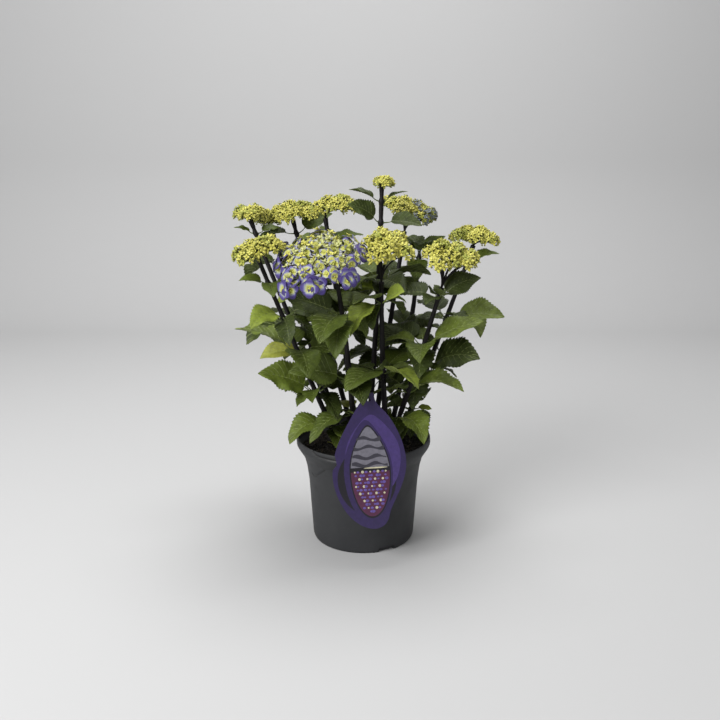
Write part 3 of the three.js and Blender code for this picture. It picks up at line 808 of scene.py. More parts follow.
def build_pot():
    """The moulded pot: a profile carried round, with drain notches in its foot and moulded lines, whose deepest
    faces carry painted shade.
    """
    wall = [(0.4, POT_FOOT - 1.2), (1.8, POT_FOOT)] + POT_BODY + [(180, 114.6)]
    outer = np.concatenate([[(0, 0), (0, 30), (0, 60), (0, POT_FOOT - 2.4)], rounded(wall, 1.3, 5)])
    lining = [(z, r - 1.5 * WALL) for z, r in (POT_BODY[5], POT_BODY[4], POT_BODY[3], POT_BODY[1])]
    lip = [(POT_HEIGHT, RIM_RADIUS), (POT_HEIGHT, RIM_RADIUS - 1.2), (POT_HEIGHT - 1.4, RIM_RADIUS - 2.6)]
    inner = rounded(lip + lining + [(2.4, POT_FOOT - 2 * WALL)], 3.0, 1)
    profile = np.concatenate([outer, inner, [(2.4, 40), (2.4, 0)]])
    z, r = profile[:, :1], profile[:, 1:]
    a = np.degrees(full_turn(POT_STEPS))[None]
    outside = (np.arange(len(profile)) < len(outer))[:, None]
    for k in range(DRAINS):
        off = np.abs((a - FIRST_DRAIN - 360 / DRAINS * k + 180) % 360 - 180) * np.radians(1) * POT_FOOT
        beside, below = (DRAIN_WIDTH / 2 - off) / NOTCH_SOFT, (DRAIN_HEIGHT - z) / NOTCH_SOFT
        notch = np.clip(beside, 0, 1) * np.clip(below, 0, 1)
        r = r - outside * np.clip(r - POT_FOOT + DRAIN_DEPTH, 0, DRAIN_DEPTH) * notch
    groove = 0 * r
    for knots, depth in SEAMS:
        line = distance_to_line((a + 180) % 360 - 180, z, knots, np.radians(1) * SEAM_RADIUS)
        groove = groove + outside * SEAM_DEPTH * depth * np.exp(-((line / SEAM_WIDTH) ** 2))
    unround = 1 + UNROUND * sind(2 * a + UNROUND_TURN) * (z / POT_HEIGHT)
    batch = Batch()
    # faces deep in a moulded groove are painted near-black: painted shade in the recess
    sunk = (groove[:-1] + groove[1:]) / 2
    dark = ((sunk + np.roll(sunk, -1, 1)) / 2 > SEAM_SHADE_FROM).astype(int).ravel()
    ends = np.zeros(2 * POT_STEPS, int)
    batch.add(*shell(around((r - groove) * unround, a, z)), np.concatenate([dark, ends]))
    pot = batch.piece("pot_moulded", [pot_finish(), stem_finish("groove_shade", (19, 19, 21))], "pot")
    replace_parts(pot, "pot")


BED_ROWS, BED_COLUMNS, CRUMBS = 76, 300, 1500
# each waviness of the bed: height, length of the waves, seed and number of waves
BED_WAVES = ((1.6, 34, 1, 7), (1.0, 11, 2, 7), (0.7, 4.5, 3, 11))
# each kind of crumb: colour, colour of its fibres and share
CRUMB_KINDS = {"peat": ((22, 19, 16), (42, 36, 29), 0.6), "bark": ((38, 31, 24), (60, 50, 39), 0.3),
               "pale": ((62, 54, 43), (84, 74, 60), 0.1)}


def build_compost():
    """Compost: an uneven disc that calms towards the pot's wall, and loose lumps and fibres on it."""
    rim = POT_BODY[3][1] - 1.5 * WALL + 4.4
    out = (np.linspace(0.01, 1, BED_ROWS) * rim)[:, None]
    a = np.degrees(full_turn(BED_COLUMNS))[None]
    flat = around(out, a, 0)
    height = sum(high * ripple(flat, size, seed, waves) for high, size, seed, waves in BED_WAVES)
    top = around(out, a, SOIL_TOP - 1.2 + height * np.clip((rim - out) / 6, 0.1, 1))
    skirt = around(POT_BODY[1][1] - 3 * WALL, a, POT_BODY[1][0])
    batch = Batch()
    batch.add(*shell(np.concatenate([top, skirt])))
    bed = batch.piece("compost_bed", [compost_finish("damp_peat", (24, 21, 17), (46, 39, 31))], "soil")
    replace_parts(bed, "soil")
    out, turn = (rim - 4) * np.sqrt(lot.uniform(0, 1, CRUMBS)), lot.uniform(0, 360, CRUMBS)
    places = around(out, turn, SOIL_TOP - 0.6 + lot.uniform(0, 1.6, CRUMBS))
    frames = np.linalg.qr(lot.normal(size=(CRUMBS, 3, 3)))[0]
    frames *= np.sign(np.linalg.det(frames))[:, None, None]
    stretch = lot.uniform(0.5, 1.3, (CRUMBS, 3, 1))
    stretch *= np.where(lot.uniform(size=(CRUMBS, 1, 1)) > 0.85, 1.6, 1.0)
    lump = octahedral(1.0)
    copies = scatter(lump, places, frames * stretch, lot.uniform(0.8, 2.1, CRUMBS))
    shares = [share for _, _, share in CRUMB_KINDS.values()]
    crumbs = Batch()
    crumbs.add(*copies, dealt(lot.choice(len(shares), CRUMBS, p=shares), lump))
    finishes = [compost_finish(f"{kind}_crumb", dark, light) for kind, (dark, light, _) in CRUMB_KINDS.items()]
    crumbs.piece("compost_crumbs", finishes, "soil", smooth=False)


def octahedral(radius):
    """A lump of eight faces."""
    points = np.concatenate([np.eye(3), -np.eye(3)]) * radius
    faces = np.array([(0, 1, 2), (1, 3, 2), (3, 4, 2), (4, 0, 2), (1, 0, 5), (3, 1, 5), (4, 3, 5), (0, 4, 5)])
    return points, outward(points, [faces])


# ---- canes, with their nodes and bark ----


CANE_ROWS, CANE_SIDES, CANE_RIDGES, RIDGE_HIGH, BARK_HIGH = 170, 16, 5, 0.14, 0.2
NODE_SWELL, NODE_LONG, WAIST_SLIM, WAIST_ABOVE, WAIST_LONG = 1.5, 3.2, 0.25, 7, 3
BUD_FROM = 0.96                      # where the bare cane starts to round off into its bud


def build_canes():
    """Each cane is a round limb along its curve. It swells at each node, is slimmer just above it, and has
    fine ridges that wind a little and an uneven bark."""
    batch = Batch()
    t = np.linspace(0, 1, CANE_ROWS)
    a = np.degrees(full_turn(CANE_SIDES))[None]
    for number, cane in enumerate(canes.values()):
        centre = cane.at(t)
        radius = cane.radius(t)[:, None]
        if cane is canes[BARE_SHOOT]:
            tipped = np.clip((t - BUD_FROM) / (1 - BUD_FROM), 0, 1)
            radius = radius * np.sqrt(1 - 0.97 * tipped ** 2)[:, None]
        for whorl in whorls:
            if canes[whorl.cane] is cane:
                rise = centre[:, 2:] - whorl.centre[2]
                radius = radius + NODE_SWELL * np.exp(-((rise / NODE_LONG) ** 2))
                radius = radius - WAIST_SLIM * np.exp(-(((rise - WAIST_ABOVE) / WAIST_LONG) ** 2))
        even = centre[:, None] + around(radius, a, 0)
        ridges = RIDGE_HIGH * np.sin(np.radians(a) * CANE_RIDGES + number + centre[:, 2:] / 60)
        bark = BARK_HIGH * ripple(even * np.array([1, 1, 0.25]), 6, number, 9)
        batch.add(*shell(centre[:, None] + around(radius + ridges + bark, a, 0)))
    made = batch.piece("canes_barked", [bark_finish()], "cane")
    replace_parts(made, *[f"cane_{name}" for name in CANES])


# ---- leaves in fine detail ----

VEINS = 9                            # pairs of side veins
SWEEP = 0.24                         # how far a side vein runs forward on its way to the edge
VEIN_REACH, VEIN_LAST, VEIN_POINTS = 0.93, 0.97, 7
USUAL_LENGTH = 80                    # the length of the leaf that the relief's heights are given for
TOOTH_SHAPE = (0.0, 0.55, 1.0)       # a tooth's edge: it rises slowly towards the tip and drops back
# each tone: its upper side, its underside, its share of the leaves and its share of the shade leaves
# the tones are lighter and darker copies of one green: partly the leaves' own tones, partly painted light and
# shade
TONES = {
    "deep": ((55, 66, 23), (88, 100, 52), 0.4, 0.64), "mid": ((75, 88, 31), (106, 119, 60), 0.42, 0.3),
    "fresh": ((95, 109, 40), (122, 135, 70), 0.15, 0.06), "bright": ((134, 149, 58), (144, 157, 82), 0.03, 0),
    "yellow": ((150, 154, 64), (166, 166, 84), 0, 0),
}
PALE_VEIN, PALE_SHARE = (158, 170, 100), 0.65
WITHERED = "withered"                # one dead leaf on the compost
# leaves whose tone shows: the whorl, and the leaf's number in it
# a leaf that stands in shade is dealt a darker tone and a well-lit one a lighter tone: partly painted shade and
# painted light
TONE_OF = {
    "deep": [("far_right_2", 0), ("right_front_4", 0), ("right_front_4", 1), ("crown_1", 3), ("crown_1", 5),
             ("left_front_4", 1), ("centre_left_3", 1), ("crown_2", 0), ("crown_3", 0), ("crown_3", 1)],
    "mid": [("centre_left_2", 0), ("centre_left_3", 0), ("centre_left_3", 3), ("centre_left_1", 3),
            ("left_front_1", 1), ("left_front_3", 2), ("left_back_2", 1)],
    "fresh": [("left_front_3", 0), ("left_front_2", 0), ("right_front_3", 0), ("right_front_2", 0),
              ("far_right_3", 0), ("left_front_1", 0), ("right_front_1", 0), ("left_front_5", 0)],
    "bright": [("left_front_4", 0), ("centre_front_2", 0), ("centre_front_1", 0), ("right_front_2", 2)],
    "yellow": [("left_back_1", 0), ("centre_left_1", 1)],
}
SHOWN = {(f"leaves_{whorl}", order): tone for tone, keys in TONE_OF.items() for whorl, order in keys}
SHOWN[WITHERED] = "yellow"


def blade_relief(leaf, t, s):
    """How far the blade rises off its even shape: quilted between the side veins and waved at its edge."""
    wing = np.abs(s)
    quilt = np.sin(np.pi * VEINS * (t - SWEEP * wing)) ** 2
    fade = np.clip(1.15 - wing ** 2, 0, 1) * np.clip(t * 9, 0, 1) * np.clip((1 - t) * 4, 0, 1)
    wave = np.sin(2 * np.pi * (leaf.waves * t + leaf.phase + 0.3 * s)) * wing ** 2
    sag = wing ** 2 * np.where(s > 0, leaf.sags[0], leaf.sags[1]) + leaf.hook * np.clip(t - 0.6, 0, 1) ** 2
    twist = leaf.twist * s * t * leaf.half(t)
    swell = np.sin(np.pi * np.clip(t, 0, 1))
    even = (1.7 * quilt - 0.9) * fade + (leaf.ruffle * wave + sag) * swell
    return leaf.length / USUAL_LENGTH * even + twist


def blade_rings(leaf):
    """Rings round the blade: its upper side from edge to edge and back along the underside. Every third
    row is the point of a tooth."""
    k = np.arange(1, leaf.rows + 1)
    t = (k / (leaf.rows + 0.4))[:, None]
    tooth = (np.take(TOOTH_SHAPE, k % 3) * np.clip(k / 9, 0, 1))[:, None]
    s = np.sin(np.linspace(-90, 90, 2 * leaf.columns + 1) * np.pi / 180)[None]
    edge = np.abs(s) ** 6
    notch = 1.07 + edge * (0.14 * tooth - 0.07)
    forward = t + 0.008 * edge * tooth
    half_thick = 0.3 * np.sqrt(np.clip(1 - np.abs(s) ** 4, 0, 1)) * np.clip((1 - t) * 8, 0.3, 1)
    lift = blade_relief(leaf, t, s)
    upper, lower = (leaf.at(np.clip(forward, 0, 1), s, lift + side * half_thick, notch) for side in (1, -1))
    return np.concatenate([upper, lower[:, -2:0:-1]], 1)


def vein_tube(leaf, t, s, widths, heights):
    """A vein that stands out of both sides of the blade: a diamond section along a line on it."""
    lift = blade_relief(leaf, t, s)
    line = leaf.at(t, s, lift)
    above = leaf.at(t, s, lift + 1.0) - line
    along = unit(np.gradient(line, axis=0))
    side = unit(np.cross(along, above))
    w, h = widths[:, None], heights[:, None]
    return np.stack([line - side * w, line - above * h, line + side * w, line + above * h], 1)


def build_foliage():
    """Blades by tone, their veins, and their stalks."""
    blades = {tone: Batch() for tone in TONES}
    veins, stalks = Batch(), Batch()
    leaves = [leaf for whorl in whorls for leaf in whorl.leaves] + shade_leaves
    withered = Leaf(np.array([-44.0, -30.0, GROUND + 1.5]), (150, 48, 60, 21, 20), 0)
    names = list(TONES)
    for leaf in leaves + [withered.hung(withered.root, 0.0, WITHERED)]:
        leaf.waves, leaf.phase = lot.uniform(1.2, 2.6), lot.uniform()
        leaf.ruffle, leaf.hook = lot.uniform(1.4, 4.8), lot.uniform(-16, 6)
        leaf.sags, leaf.twist = lot.uniform(-6.5, 4, 2), lot.uniform(-0.45, 0.45)
        # shade leaves deep in the plant are dealt the darker tones more often: partly painted shade
        shares = [row[2 if leaf.key else 3] for row in TONES.values()]
        tone = SHOWN.get(leaf.key, names[lot.choice(len(names), p=shares)])
        add_blade(blades[tone], leaf)
        add_veins(veins, leaf, names.index(tone))
        add_stalk(stalks, leaf)
    masses = [whorl.node for whorl in whorls]
    ribs = []
    for tone, (upper, under, _, _) in TONES.items():
        skins = [leaf_finish(f"leaf_{tone}", upper, 0.5), leaf_finish(f"underside_{tone}", under, 0.65)]
        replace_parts(blades[tone].piece(f"blades_{tone}", skins, "leaf"), *masses)
        ribs.append(stem_finish(f"vein_{tone}", mixed(upper, PALE_VEIN, PALE_SHARE)))
    veins.piece("leaf_veins", ribs, "leaf")
    stalks.piece("leaf_stalks", [stem_finish("green_stalk", (96, 112, 50))], "leaf")


def add_blade(batch, leaf):
    rings = blade_rings(leaf)
    points, faces = loft(rings)
    n = rings.shape[1]
    column = np.tile(np.arange(n), len(rings) - 1)
    paint = np.concatenate([(column >= 2 * leaf.columns).astype(int), np.zeros(2 * n, int)])
    batch.add(points, outward(points, faces), paint)


def add_veins(batch, leaf, paint):
    """The midrib and its side veins, which sweep forward to the edge; the last ones stop short of the tip."""
    size = leaf.length / USUAL_LENGTH
    t = np.linspace(0.0, 0.96, 20)
    batch.add(*shell(vein_tube(leaf, t, 0 * t, size * (1.5 - 1.2 * t), size * (1.4 - 0.7 * t))), paint)
    taper = np.linspace(1, 0.4, VEIN_POINTS)
    for k in range(1, VEINS - 1, 1 if leaf.key else 2):
        for side in (-1, 1):
            wing = np.linspace(0, VEIN_REACH, VEIN_POINTS)
            t = k / VEINS + SWEEP * wing + 0.012 * side
            if t[-1] > VEIN_LAST:
                wing = wing * (VEIN_LAST - k / VEINS) / (SWEEP * VEIN_REACH)
                t = k / VEINS + SWEEP * wing
            vein = vein_tube(leaf, t, side * wing, size * 0.68 * taper, size * (0.85 + 0.3 * taper))
            batch.add(*shell(vein), paint)


def add_stalk(batch, leaf):
    """The stalk leaves the cane's node, bows down a little and runs in under the midrib."""
    inside = leaf.hub + (leaf.root - leaf.hub) * (leaf.hub_radius - 1) / (leaf.hub_radius + SPREAD)
    end = leaf.at(np.array(0.05), np.array(0.0), -0.4)
    middle = leaf.root + (leaf.start - leaf.root) * 0.5 - UP * 0.04 * leaf.length
    t = np.linspace(0, 1, 10)
    path = bow(inside, middle, end, t)
    radii = 0.7 + 0.55 * (1 - t) + 1.0 * np.exp(-t * 9)
    batch.add(*tube(path, radii, 7, 0.85))


# ---- flower heads in fine detail ----


QUARTERS = np.arange(0, 360, 90)
# four frames a quarter turn apart about the upright axis
CROSS = np.stack([around(1, QUARTERS, 0), around(1, QUARTERS + 90, 0), np.broadcast_to(UP, (4, 3))], 1)


def small_petals(reach=0.58, width=0.53, cup=0.25, rows=3, sides=4):
    """Four petals round the upright axis. Each is a thin closed leaf: its width follows a sine, it cups up, and
    it ends in a soft point."""
    t = np.linspace(0.12, 0.95, rows)
    a = full_turn(sides)
    half = width / 2 * np.sin(np.pi * t ** 0.75) ** 0.7
    s, u = np.cos(a)[None], np.sin(a)[None]
    x = (t * reach)[:, None] + 0 * s
    z = (cup * t ** 2)[:, None] + 0.22 * cup * s ** 2 * (half / width * 2)[:, None] + 0.035 * reach * u
    points, faces = loft(np.stack([x, half[:, None] * s, z], -1))
    points[-2:] = (0.04 * reach, 0, 0), (reach, 0, cup * 1.05)
    points, faces = scatter((points, outward(points, faces)), np.zeros((4, 3)), CROSS, np.ones(4))
    return points.reshape(-1, 3), faces


SMALL_PETALS = small_petals()
SMALL_EYE = (octahedral(0.13)[0] + UP * 0.1, octahedral(0.13)[1])
BUD = octahedral(0.5)
# sizes of the small florets of the heads in front, and of the others
SMALL_SIZE = {"centre_front": 10.5, "right_front": 10, "left_front": 9.4, "centre_left": 11}
OTHER_SIZE = 8.0
# the petals' tones, and last the bud at the eye
YELLOWS = {"petal_lemon": (207, 202, 94), "petal_straw": (190, 185, 78), "petal_lime": (166, 170, 70),
           "petal_cream_yellow": (190, 192, 122), "bud_green": (136, 140, 54)}
SLATES = {"petal_slate_blue": (118, 126, 136), "petal_pale_slate": (148, 154, 148), "slate_eye": (150, 150, 84)}
# the broad sepals' colours from the eye to the margin, and where one goes over to the next
SEPAL_ZONES = {"sepal_eye": (184, 184, 84), "sepal_cream": (186, 190, 134), "sepal_mist": (150, 154, 160),
               "sepal_lilac": (98, 92, 150), "sepal_violet": (68, 54, 122), "sepal_rim": (54, 42, 98)}
ZONE_EDGES = (0.05, 0.17, 0.26, 0.37, 0.8)
SEPAL_ROWS, SEPAL_SIDES = 9, 8


def broad_sepal():
    """A broad, round sepal of unit reach in zones of colour, from its eye out to its margin."""
    t = np.linspace(0.03, 0.985, SEPAL_ROWS)
    a = full_turn(SEPAL_SIDES)
    half = 0.48 * np.sin(np.pi * t ** 0.95) ** 0.72
    s, u = np.cos(a)[None], np.sin(a)[None]
    x = t[:, None] + 0 * s
    y = half[:, None] * s
    z = (0.16 * np.sin(np.pi * t * 0.8))[:, None] + 0.1 * s ** 2 * half[:, None] + 0.014 * u
    points, faces = loft(np.stack([x, y, z + 0.03 * np.sin(5 * y + 3 * x)], -1))
    middle = (t[1:] + t[:-1])[:, None] / 2
    across = np.cos(a + np.pi / SEPAL_SIDES)[None]
    zone = np.digitize(middle ** 2 * (1 + 0.9 * across ** 2), ZONE_EDGES)
    paint = np.concatenate([zone.ravel(), np.repeat([0, len(ZONE_EDGES)], SEPAL_SIDES)])
    return points, outward(points, faces), paint


SEPAL = broad_sepal()


def facing(normals, spins):
    """Frames (rows x, y, z) whose z looks along each normal, turned by a spin."""
    normals = unit(normals)
    x = unit(np.cross(normals, unit(np.array([0.3, 0.9, 0.31]))))
    y = np.cross(normals, x)
    c, s = cosd(spins)[:, None], sind(spins)[:, None]
    return np.stack([x * c + y * s, y * c - x * s, normals], 1)


def spray_florets(place, axes, radius, count, high, low):
    """Where the florets of one spray sit and look: a sunflower spiral over a cap that closes down to the
    angle low round its sides."""
    across, back, axis = axes
    k = np.arange(count)
    upright = 1 - (k + 0.5)[:, None] / count * (1 - cosd(low))
    beside = np.sqrt(1 - upright ** 2)
    a = k[:, None] * GOLDEN_TURN + lot.uniform(0, 360)
    ray = across * cosd(a) + back * sind(a)
    uneven = lot.uniform(-1.2, 1.2, (count, 1))
    places = place + ray * beside * radius + axis * (high * (upright - 0.45) + uneven)
    places = places + lot.normal(0, 0.5, (count, 3))
    return places, axis * upright + ray * beside + lot.normal(0, 0.2, (count, 3))


RAY_SHORT = 7                        # how far below its spray a ray ends


def grow_rays(batch, name, sprays):
    """The head's rays rise from its fork, spread, and carry a spray each."""
    cane = canes[name]
    fork, heading = head_fork(name), cane.heading(1.0)
    stem = bow(cane.at(1.0) - heading * 3, cane.at(1.0), fork + heading * 2, np.linspace(0, 1, 8))
    batch.add(*tube(stem, CANE_TIP + np.linspace(0, 1, 8) * 0.8, 12))
    axis = head_axes(name)[2]
    for place in sprays:
        away = np.linalg.norm(place - fork)
        end = place - axis * RAY_SHORT
        path = bow(fork - heading, fork + heading * away * 0.42, end, np.linspace(0, 1, 12))
        batch.add(*tube(path, np.linspace(1.75, 1.05, 12), 8))


def grow_branchlets(batch, foot, places, normals):
    """Thin stalks from the end of a ray to each of its florets."""
    t = np.linspace(0, 1, 4)
    for place, normal in zip(places, unit(normals)):
        path = bow(foot, foot * 0.45 + place * 0.55 - normal * 3.2, place - normal * 0.6, t)
        batch.add(*tube(path, 0.62 - 0.26 * t, 3))


def build_heads():
    """The flower heads: rays and branchlets, closed yellow florets, and the open head's broad sepals."""
    rays, slate, wide = Batch(), Batch(), Batch()
    yellow = {"front": Batch(), "back": Batch()}
    for name in HEADS:
        closed = yellow["front" if name in SMALL_SIZE else "back"]
        sprays, axes = head_sprays(name), head_axes(name)
        grow_rays(rays, name, sprays)
        for place in sprays:
            if name == OPEN_HEAD:
                grow_open_spray(rays, closed, wide, place, axes)
            else:
                grow_closed_spray(rays, closed, slate, name, place, axes)
    stalks = rays.piece("flower_stalks", [bark_finish()], "cane")
    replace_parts(stalks, *[f"bloom_{name}" for name in HEADS])
    yellows, slates, violets = ([petal_finish(name, colour) for name, colour in tones.items()]
                                for tones in (YELLOWS, SLATES, SEPAL_ZONES))
    for row, batch in yellow.items():
        batch.piece(f"florets_yellow_{row}", yellows, "yellow_bloom")
    slate.piece("florets_slate", slates, "violet_bloom")
    wide.piece("sepals_violet", violets, "violet_bloom")


def put_small(batch, places, normals, sizes, tones, eye):
    """Small florets: four petals in a tone and a bud at the eye."""
    frames = facing(normals, lot.uniform(0, 90, len(places)))
    batch.add(*scatter(SMALL_PETALS, places, frames, sizes), dealt(tones, SMALL_PETALS))
    batch.add(*scatter(SMALL_EYE, places, frames, sizes), eye)


def put_buds(batch, places, normals):
    """Round green buds that fill the spray under and between its florets."""
    aside = 3.2 * unit(np.cross(normals, lot.normal(size=places.shape)))
    spots = np.concatenate([places - normals * 1.2, places + aside, places - aside])
    frames = facing(np.concatenate([normals] * 3), lot.uniform(0, 90, len(spots)))
    batch.add(*scatter(BUD, spots, frames, lot.uniform(3.2, 4.6, len(spots))), list(YELLOWS).index("bud_green"))


def grow_closed_spray(rays, closed, slate, name, place, axes, share=1.0):
    """A dense cap of small yellow florets; to the right on the turned head more and more of them are slate.
    Most florets of a spray share a tone, and cream is kept for the open head."""
    size = SMALL_SIZE.get(name, OTHER_SIZE)
    cover, radius, high = (1300, 10.5, 9) if name == YOUNG_HEAD else (2100, SPRAY_RADIUS + 1.5, 17)
    count = round(share * cover / size ** 2)
    places, normals = spray_florets(place, axes, radius, count, high, 88)
    grow_branchlets(rays, place - axes[2] * RAY_SHORT, places, normals)
    sizes = size * lot.uniform(0.85, 1.2, count)
    main = lot.choice(3, p=[0.5, 0.3, 0.2])
    tones = np.where(lot.uniform(size=count) < 0.6, main, lot.choice(3, count))
    if name == OPEN_HEAD:
        tones = lot.choice([0, 2, 3], count, p=[0.3, 0.15, 0.55])
    put_buds(closed, places - axes[2] * 2.5, unit(normals))
    aside = (places - np.asarray(HEADS[name][0])) @ axes[0]
    blue = (name == TURNED_HEAD) & (aside / 65 + 0.1 > lot.uniform(0, 1, count))
    for chosen, batch, eye in ((~blue, closed, len(YELLOWS) - 1), (blue, slate, len(SLATES) - 1)):
        if chosen.any():
            put_small(batch, places[chosen], normals[chosen], sizes[chosen], tones[chosen] % eye, eye)


FULL_AGE, HALF_AGE, FRONT_SIDE = 0.74, 0.5, 0.3
# of an open, a half-open and a young spray: florets, spread, their sizes, how far they lean out, and its share
# of small florets
OPEN_SPRAYS = ((4, 0.66, (29, 38), 1.0, 0), (4, 0.7, (20, 27), 0.6, 0.2), (5, 0.8, (15, 20), 0.1, 0.45))


def grow_open_spray(rays, closed, wide, place, axes):
    """The open head's florets grow from small and pale at its middle to broad and violet round its front."""
    centre, width, _, _ = HEADS[OPEN_HEAD]
    u, v = (place - centre) @ axes[0] / (width / 2), (place - centre) @ axes[1] / (width / 2)
    age = math.hypot(u, v) - 0.3 * v
    out = unit(place - np.asarray(centre))
    paler = 0 if age > FULL_AGE else 1 if age > HALF_AGE else 2
    count, spread, sizes, lean, share = OPEN_SPRAYS[1 if paler == 0 and v >= FRONT_SIDE else paler]
    places, normals = spray_florets(place, axes, OPEN_RADIUS * spread, count, 8, 60)
    places, normals = places + lean * (4 * out - 4 * axes[2]), normals + lean * out
    grow_branchlets(rays, place - axes[2] * RAY_SHORT, places, normals)
    put_wide(wide, places, normals, lot.uniform(*sizes, count), paler)
    if share:
        grow_closed_spray(rays, closed, closed, OPEN_HEAD, place, axes, share)


def put_wide(batch, places, normals, sizes, paler):
    """Florets of four broad sepals that overlap a little; the younger ones are a zone paler."""
    frames = facing(normals, lot.uniform(0, 90, len(places)))
    points, faces, paint = SEPAL
    zones = np.concatenate([np.tile(part, len(places)) for part in np.split(paint, [len(faces[0])])])
    for k, turn in enumerate(CROSS):
        sepal = points * 0.5 + UP * 0.012 * (k % 2)
        batch.add(*scatter((sepal @ turn, faces), places, frames, sizes), np.maximum(zones - paler, 0))
    batch.add(*scatter(BUD, places + unit(normals) * 0.05 * sizes[:, None], frames, 0.2 * sizes), 0)


# ---- card and its loop ----


# of the card's outline: every third corner is on it, and the two between pull the curve towards them
CARD_CORNERS = (
    (-52, 8), (-51, 3), (-50, -3), (-49.5, -8), (-52, -10), (-54, -13), (-56.5, -15), (-62, -44), (-44, -84),
    (-27, -98.5), (-17, -108), (-6, -113), (5, -113.5), (20, -113), (27, -104), (30, -92), (35, -72), (61, -42),
    (61.5, -8), (61.5, 20), (48, 56), (30, 76), (24, 83), (16, 88), (16, 105), (12, 105), (8, 105),
    (4, 105), (-14, 80), (-46, 34))


def card_outline():
    """The card's leaf-shaped outline with its hanging tab and the nick on its left: cubic runs from corner to
    corner, sampled evenly."""
    t = np.linspace(0, 1, 16, endpoint=False)[:, None]
    corners = np.array([*CARD_CORNERS, CARD_CORNERS[0]], float)
    runs = [corners[k:k + 4] for k in range(0, len(CARD_CORNERS), 3)]
    return np.concatenate([(1 - t) ** 3 * a + 3 * t * (1 - t) ** 2 * b + 3 * t ** 2 * (1 - t) * c + t ** 3 * d
                           for a, b, c, d in runs])


def oval(x, y, wide, high, point=0.0, count=64):
    """A ring of points: an ellipse whose top is drawn out to a soft point."""
    a = full_turn(count)
    draw = 1 - point * np.clip(np.sin(a), 0, 1) ** 2
    return np.stack([x + wide * np.cos(a) * draw, y + high * np.sin(a)], -1)


def slab(outline, low, high, holes=()):
    """A flat closed piece of the card between two heights over its back, in the plant's frame."""
    loops = [outline, *holes]
    flat = np.concatenate(loops)
    faces = np.array(tessellate_polygon([[Vector((x, y, 0)) for x, y in ring] for ring in loops]))
    n = len(flat)
    sides, first = [], 0
    for ring in loops:
        i = np.arange(len(ring))
        j = (i + 1) % len(ring)
        sides.append(np.stack([first + i, first + j, first + j + n, first + i + n], -1))
        first += len(ring)
    points = np.concatenate([on_card(flat[:, 0], flat[:, 1], low), on_card(flat[:, 0], flat[:, 1], high)])
    a, b, c = (flat[faces[:, k]] for k in range(3))
    ccw = np.cross(b - a, c - a) > 0
    faces = np.where(ccw[:, None], faces, faces[:, ::-1])
    sides = np.concatenate(sides)
    x, y = outline.T
    if (x * np.roll(y, -1) - np.roll(x, -1) * y).sum() < 0:
        sides = sides[:, ::-1]
    return points, [sides, np.concatenate([faces[:, ::-1], faces + n])]


PRINT = 0.05                         # each printed layer's height over the one below
CARD_COLOURS = {
    "violet": (42, 29, 76), "night": (16, 12, 23), "lilac": (64, 48, 106), "mist": (110, 108, 118),
    "smoke": (52, 50, 60), "plum": (78, 32, 62), "cream": (196, 190, 160), "orchid": (96, 78, 150),
}


def clipped(ring, keep):
    """The part of a ring where keep is true: a run of its points, closed by a straight line."""
    inside = keep(ring)
    start = int(np.argmax(inside & ~np.roll(inside, 1)))
    return np.roll(ring, -start, axis=0)[: int(inside.sum())]


def build_card():
    """The card: a violet leaf shape that frames a window of plain bands over a dotted field."""
    hole = oval(*CARD_HOLE, CARD_HOLE_RADIUS, CARD_HOLE_RADIUS, count=24)
    window = oval(3, -21, 31, 72, 0.45)
    layers = [
        ("night", [oval(-3, -32, 47, 57, 0.3)]),
        ("lilac", [oval(9, 4, 44, 66, 0.45)]),
        ("violet", [oval(0, -20, 39, 82, 0.45)]),
        ("night", [oval(3, -21, 33, 75, 0.45)]),
        ("mist", [clipped(window, lambda p: p[:, 1] > -14)]),
    ]
    for height in (34, 20, 5, -7):
        x = np.linspace(-1, 1, 30) * 29 * math.sqrt(1 - ((height + 21) / 74) ** 2) + 3
        wave = np.stack([x, height + 2.6 * np.sin(x / 5 + height)], -1)
        lower = np.stack([x[::-1], height - 5 + 2.2 * np.sin(x[::-1] / 7 + height)], -1)
        layers.append(("smoke", [np.concatenate([wave, lower])]))
    layers.append(("plum", [clipped(window, lambda p: p[:, 1] < -16)]))
    dots = {"cream": [], "orchid": []}
    for row in range(12):
        for column in range(-4, 5):
            x, y = 3 + 6.4 * (column + 0.5 * (row % 2)) + 1.6 * math.sin(5 * row + 3 * column), -21 - 5.8 * row
            if math.hypot((x - 3) / 27, (y + 21) / 68) < 1:
                kind = "cream" if (row + 2 * column) % 4 == 0 else "orchid"
                size = 1.4 + 0.9 * math.sin(7 * row + 4 * column) ** 2
                dots[kind].append(oval(x, y, size * (1 if kind == "cream" else 1.3), size, 0, 12))
    layers += list(dots.items())
    layers.append(("cream", [oval(12, -15, 19, 1.1, 0, 20)]))
    names = list(CARD_COLOURS)
    batch = Batch()
    batch.add(*slab(card_outline(), 0, CARD_THICK, [hole]), names.index("violet"))
    for number, (name, rings) in enumerate(layers, 1):
        for ring in rings:
            batch.add(*slab(ring, CARD_THICK - 0.2, CARD_THICK + PRINT * number), names.index(name))
    inks = [card_finish(f"print_{name}", colour) for name, colour in CARD_COLOURS.items()]
    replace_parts(batch.piece("card_printed", inks, "tag", smooth=False), "tag")


